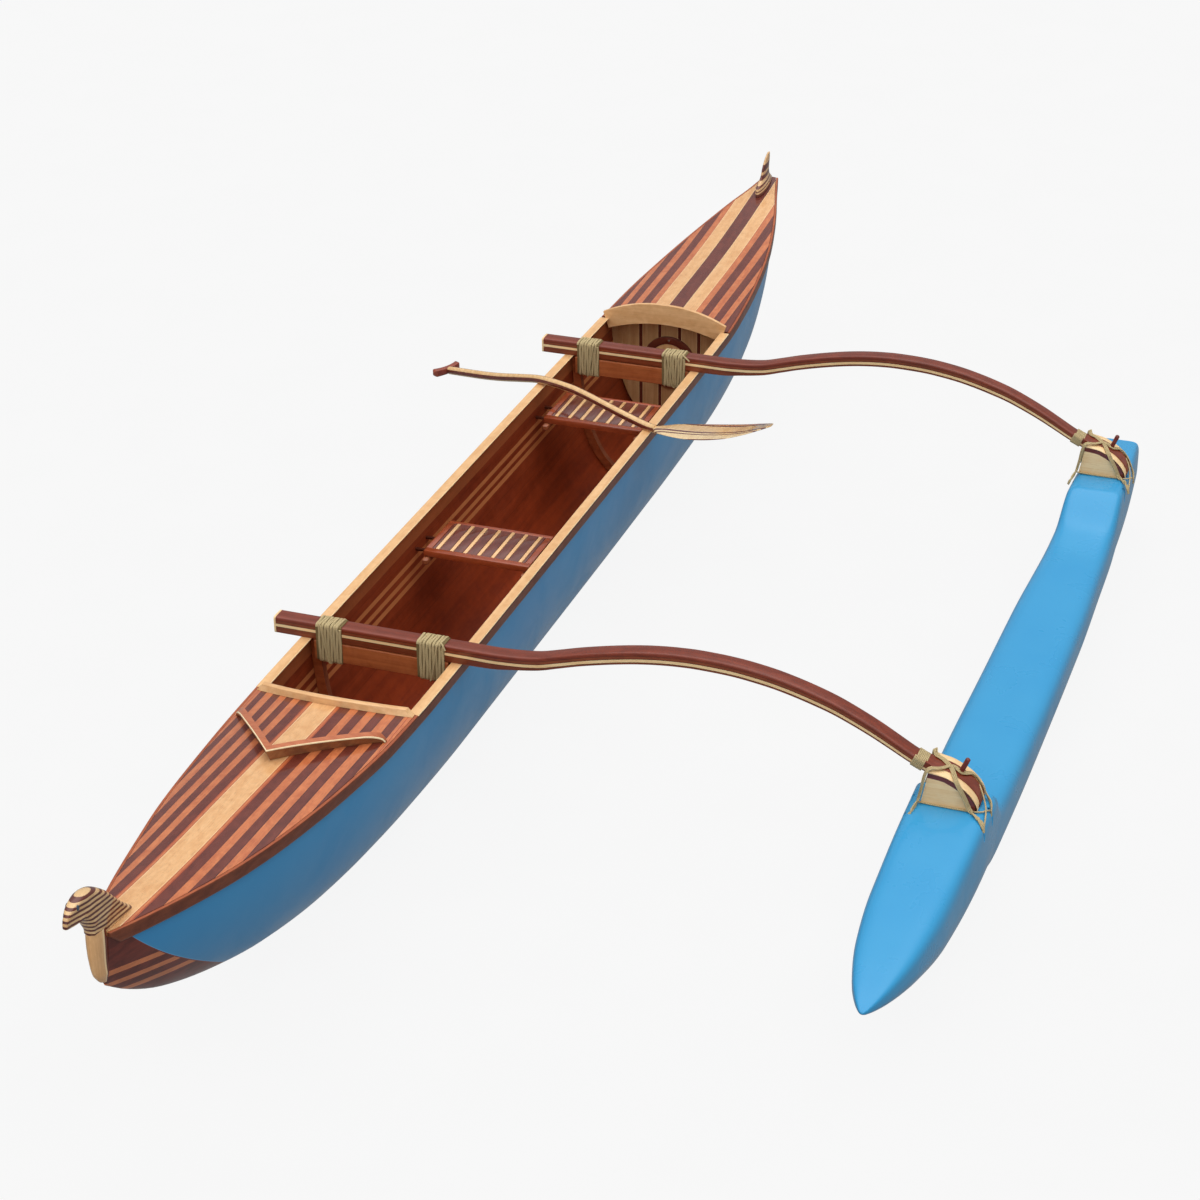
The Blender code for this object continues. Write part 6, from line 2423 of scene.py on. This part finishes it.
            self.bar(skin, (start - 0.001, -half + side - 0.001, low + 0.002),
                     (end + 0.001, half - side + 0.001, low + 0.010), 0.001, 1)
            skin.make((frame, slat, maple), (f"{word}_seat",), slot="dark_wood", crease=40.0)
            for turn, hand in SIDES:
                skin = Skin(f"{word}_seat_cleat_{hand}")
                near, far = sorted((turn * (half - 0.022), turn * (half + 0.001)))
                self.bar(skin, (aft - 0.004, near, low - 0.0205), (fore + 0.018, far, low - GAP),
                         0.007)
                for x in (aft + 0.07, fore - 0.07):
                    wall = self.form.inner_half(x, low - 0.016, -0.001)
                    a, b = sorted((turn * (half - 0.004), turn * wall))
                    self.bar(skin, (x - 0.006, a, low - 0.020), (x + 0.006, b, low - 0.012),
                             finish=1)
                skin.make((cleat, under), (f"{word}_cleat_{hand}",), slot="dark_wood",
                          crease=40.0)


@dataclass(frozen=True)
class Metal(Finish):
    """Brushed metal of small fittings."""

    colour: Colour = (0.6, 0.6, 0.6)

    def dress(self, graph: Graph, shader: Node) -> None:
        """Feeds the shader: brushed metal.

        Args:
            graph: the material's nodes.
            shader: its Principled shader.
        """
        shader.inputs["Metallic"].default_value = 1.0
        vector = self.place(graph, Grain.FORE_AND_AFT, False)
        brushed = graph.noise(graph.stretched(vector, 300.0, 1400.0), 1.0, 2.0)
        colour = graph.blend(brushed, self.colour, tuple(0.7 * c for c in self.colour))
        self.settle(graph, shader, colour, brushed, 0.00005, brushed)


@dataclass
class Paddle:
    """The bent-shaft paddle laid across the hull over the rear seat."""

    start: Flat = (-0.8124, -0.25)
    heading: Flat = (0.4545, 0.8907)
    radius: float = 0.0145
    grip_half: float = 0.058
    grip_radius: float = 0.0155
    grip_z: float = 0.3965
    shaft: tuple[Flat, ...] = (
        (-0.4871, 0.3980), (-0.3955, 0.4167), (-0.2903, 0.4390), (-0.1953, 0.4625),
        (-0.1021, 0.4890), (-0.0100, 0.5140), (0.0580, 0.5245), (0.1660, 0.5334), (0.2470, 0.5321),
        (0.3140, 0.5278), (0.4470, 0.5191), (0.5450, 0.5155), (0.5900, 0.5187),
    )
    blade: tuple[tuple[float, float, float, float], ...] = (
        (0.5600, 0.5160, 0.0140, 0.0270), (0.5904, 0.5187, 0.0140, 0.0220),
        (0.6150, 0.5268, 0.0330, 0.0170),
        (0.6500, 0.5390, 0.0510, 0.0130), (0.7200, 0.5575, 0.0680, 0.0110),
        (0.8000, 0.5790, 0.0810, 0.0100), (0.8930, 0.6078, 0.0880, 0.0090),
        (0.9780, 0.6388, 0.0850, 0.0080), (1.0490, 0.6695, 0.0670, 0.0070),
        (1.0950, 0.6925, 0.0390, 0.0060), (1.1170, 0.7035, 0.0080, 0.0050),
    )

    def at(self, along: float, across: float, z: float) -> Point:
        """Point at a distance along the paddle and across it."""
        return (self.start[0] + self.heading[0] * along + self.heading[1] * across,
                self.start[1] + self.heading[1] * along - self.heading[0] * across, z)

    def build(self) -> None:
        """Builds the shaft, the blade and the grip."""
        across = (self.heading[1], -self.heading[0], 0.0)
        offset = self.start[0] * across[0] + self.start[1] * across[1]
        woods = (
            ("light", tone(232, 194, 142), tone(212, 168, 114)),
            ("cream", tone(244, 216, 168), tone(232, 198, 148)),
            ("orange", tone(208, 126, 78), tone(180, 96, 56)),
            ("dark", tone(116, 52, 38), tone(90, 38, 28)),
        )
        layered = dict(woods=woods, pores=tone(110, 60, 36), axis=across, both_sides=False,
                       grain=Grain.FORE_AND_AFT, across=50.0, rough=0.32, coat=0.8)
        shaft = Strips(name="shaft layers", start=offset - 0.02, bands=(
            (0.0100, "cream"), (0.0178, "dark"), (0.0328, "light"), (0.045, "dark")),
            **layered).make()
        blade = Strips(name="blade layers", start=offset - 0.09, bands=(
            (0.011, "cream"), (0.027, "orange"), (0.030, "cream"), (0.046, "dark"),
            (0.050, "cream"), (0.100, "light"), (0.104, "cream"), (0.118, "dark"),
            (0.128, "cream"), (0.136, "dark"), (0.172, "cream"), (0.19, "dark")),
            **layered).make()
        grip = timber("grip wood", tones((156, 74, 50), (128, 56, 40), (76, 30, 20)),
                      across=70.0, rough=0.36, coat=0.7)
        path = faired_path([self.at(d, 0.0, z) for d, z in self.shaft], 150)
        Skin("paddle_pole").rows(tube_rings(path, self.radius, 28, 1.0, Vector(across))).make(
            (shaft,), ("paddle_shaft",), body="paddle", slot="light_wood", crease=60.0)
        self.build_blade(blade)
        self.build_grip(grip)

    def build_blade(self, finish: Material) -> None:
        """The leaf-shaped blade, thickest down its middle.

        Args:
            finish: its layered wood.
        """
        height, half, thick = (Fair(self.blade, column) for column in (1, 2, 3))
        rings = []
        for d in even(90, self.blade[1][0], self.blade[-1][0]):
            rise = (height(d + 0.004) - height(d - 0.004)) / 0.008
            size = math.hypot(1.0, rise)
            ring = []
            for angle in turns(48):
                across = half(d) * signed_power(math.cos(angle), 0.8)
                lift = 0.5 * thick(d) * math.sin(angle)
                ring.append(self.at(d - rise / size * lift, across, height(d) + lift / size))
            rings.append(ring)
        Skin("paddle_leaf").rows(rings).make(
            (finish,), ("paddle_blade",), body="paddle", slot="light_wood", crease=60.0)

    def build_grip(self, finish: Material) -> None:
        """The arched, flat-sided grip across the shaft's end.

        Args:
            finish: its wood.
        """
        middle = self.shaft[0][0] - self.grip_radius
        rings = []
        for share in even(33):
            end = math.sqrt(max(0.0, 1.0 - max(0.0, (abs(share) - 0.86) / 0.14) ** 2))
            r = self.grip_radius * (0.35 + 0.65 * end) * (1.0 - 0.12 * (1.0 - share * share))
            bend = -0.010 * share * share
            ring = []
            for angle in turns(24):
                along = 0.8 * r * signed_power(math.cos(angle), 0.32)
                lift = 0.9 * r * signed_power(math.sin(angle), 0.32)
                ring.append(self.at(middle + along + bend + 0.002, share * self.grip_half,
                                    self.grip_z + lift))
            rings.append(ring)
        Skin("paddle_handle").rows(rings).make(
            (finish,), ("paddle_grip",), body="paddle", slot="dark_wood", crease=50.0)


@dataclass
class Studio:
    """Pale floor, soft light from above and the camera at the photograph's place."""

    eye: Point = (7.3925, 2.4604, 4.4270)
    right: Point = (-0.34019, 0.94031, -0.00958)
    up: Point = (-0.44938, -0.15361, 0.88004)
    lens: float = 82.755
    floor_half: float = 40.0
    bounce: float = 0.30
    fill: float = 0.95
    fill_from: Point = (0.95, 0.20, 0.25)

    def build(self) -> None:
        """Builds the floor, the world's light and the camera."""
        self.build_floor()
        self.build_light()
        self.build_camera()

    def build_floor(self) -> None:
        """A wide pale floor that keeps only a breath of shadow."""
        mesh = bpy.data.meshes.new("studio_floor")
        h = self.floor_half
        mesh.from_pydata([(-h, -h, 0), (h, -h, 0), (h, h, 0), (-h, h, 0)], [], [(0, 1, 2, 3)])
        floor = bpy.data.objects.new("studio_floor", mesh)
        bpy.context.scene.collection.objects.link(floor)
        floor.location = (0.0, 0.0, -0.001)
        made = bpy.data.materials.new("studio floor paper")
        made.use_nodes = True
        graph = Graph(made.node_tree)
        made.node_tree.nodes.remove(made.node_tree.nodes["Principled BSDF"])
        vector = graph.add("ShaderNodeTexCoord").outputs["Object"]
        paper = graph.between(graph.noise(vector, 3.0, 3.0), 0.3, 0.7)
        seen = graph.add("ShaderNodeEmission")
        graph.feed(seen.inputs["Color"],
                   graph.blend(paper, (0.905, 0.905, 0.905), (0.900, 0.900, 0.900)))
        bounce = graph.add("ShaderNodeEmission")
        graph.feed(bounce.inputs["Color"], (self.bounce, self.bounce, self.bounce))
        shade = graph.add("ShaderNodeBsdfDiffuse")
        graph.feed(shade.inputs["Color"], (0.026, 0.026, 0.026))
        shown = graph.add("ShaderNodeAddShader")
        graph.feed(shown.inputs[0], seen.outputs[0])
        graph.feed(shown.inputs[1], shade.outputs[0])
        mix = graph.add("ShaderNodeMixShader")
        graph.feed(mix.inputs[0], graph.add("ShaderNodeLightPath").outputs["Is Camera Ray"])
        graph.feed(mix.inputs[1], bounce.outputs[0])
        graph.feed(mix.inputs[2], shown.outputs[0])
        graph.feed(made.node_tree.nodes["Material Output"].inputs[0], mix.outputs[0])
        mesh.materials.append(made)

    def build_light(self) -> None:
        """A pale world, brighter overhead, with a wide soft glow from ahead."""
        world = bpy.data.worlds.new("studio")
        bpy.context.scene.world = world
        world.use_nodes = True
        graph = Graph(world.node_tree)
        back = world.node_tree.nodes["Background"]
        way = graph.add("ShaderNodeSeparateXYZ")
        graph.feed(way.inputs[0], graph.add("ShaderNodeTexCoord").outputs["Generated"])
        sky = graph.steps(way.outputs[2], (
            (0.0, (0.33, 0.33, 0.335)), (0.5, (0.37, 0.37, 0.375)), (0.68, (0.82, 0.82, 0.82)),
            (0.82, (2.00, 2.00, 1.98)), (1.0, (2.14, 2.14, 2.11))), sharp=False)
        ahead = graph.add("ShaderNodeVectorMath", operation="DOT_PRODUCT")
        graph.feed(ahead.inputs[0], graph.add("ShaderNodeTexCoord").outputs["Generated"])
        ahead.inputs[1].default_value = Vector(self.fill_from).normalized()
        lobe = graph.sum("POWER", graph.sum("MAXIMUM", ahead.outputs["Value"], 0.0), 4.0)
        filled = graph.blend(1.0, sky, graph.steps(lobe, (
            (0.0, (0.0, 0.0, 0.0)), (1.0, (self.fill,) * 3)), sharp=False), "ADD")
        graph.feed(back.inputs["Color"], filled)
        back.inputs["Strength"].default_value = 1.0
        scene = bpy.context.scene
        scene.view_settings.view_transform = "Standard"
        scene.view_settings.look = "None"

    def build_camera(self) -> None:
        """The camera, at the photograph's place and angle."""
        data = bpy.data.cameras.new("photograph")
        data.lens = self.lens
        data.sensor_width = 36.0
        data.clip_end = 200.0
        camera = bpy.data.objects.new("photograph", data)
        bpy.context.scene.collection.objects.link(camera)
        right, up = Vector(self.right), Vector(self.up)
        back = right.cross(up)
        camera.matrix_world = Matrix((
            (right.x, up.x, back.x, self.eye[0]), (right.y, up.y, back.y, self.eye[1]),
            (right.z, up.z, back.z, self.eye[2]), (0.0, 0.0, 0.0, 1.0)))
        bpy.context.scene.camera = camera


def corners(bounds: Sequence[Sequence[float]]) -> list[list[float]]:
    """A box as plain lists of numbers."""
    return [[float(v) for v in corner] for corner in bounds]


FRAME: dict = {}


def main() -> None:
    """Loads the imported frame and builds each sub-assembly in order."""
    logging.basicConfig(level=logging.INFO, format="%(name)s %(message)s")
    FRAME.update(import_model())
    form = HullForm()
    for assembly in (Hull(form), Decks(form), Crossbeams(), Float(), EndPieces(form),
                     Cockpit(form), Paddle(), Studio()):
        log.info("building %s", type(assembly).__name__)
        assembly.build()


if __name__ == "__main__":
    main()
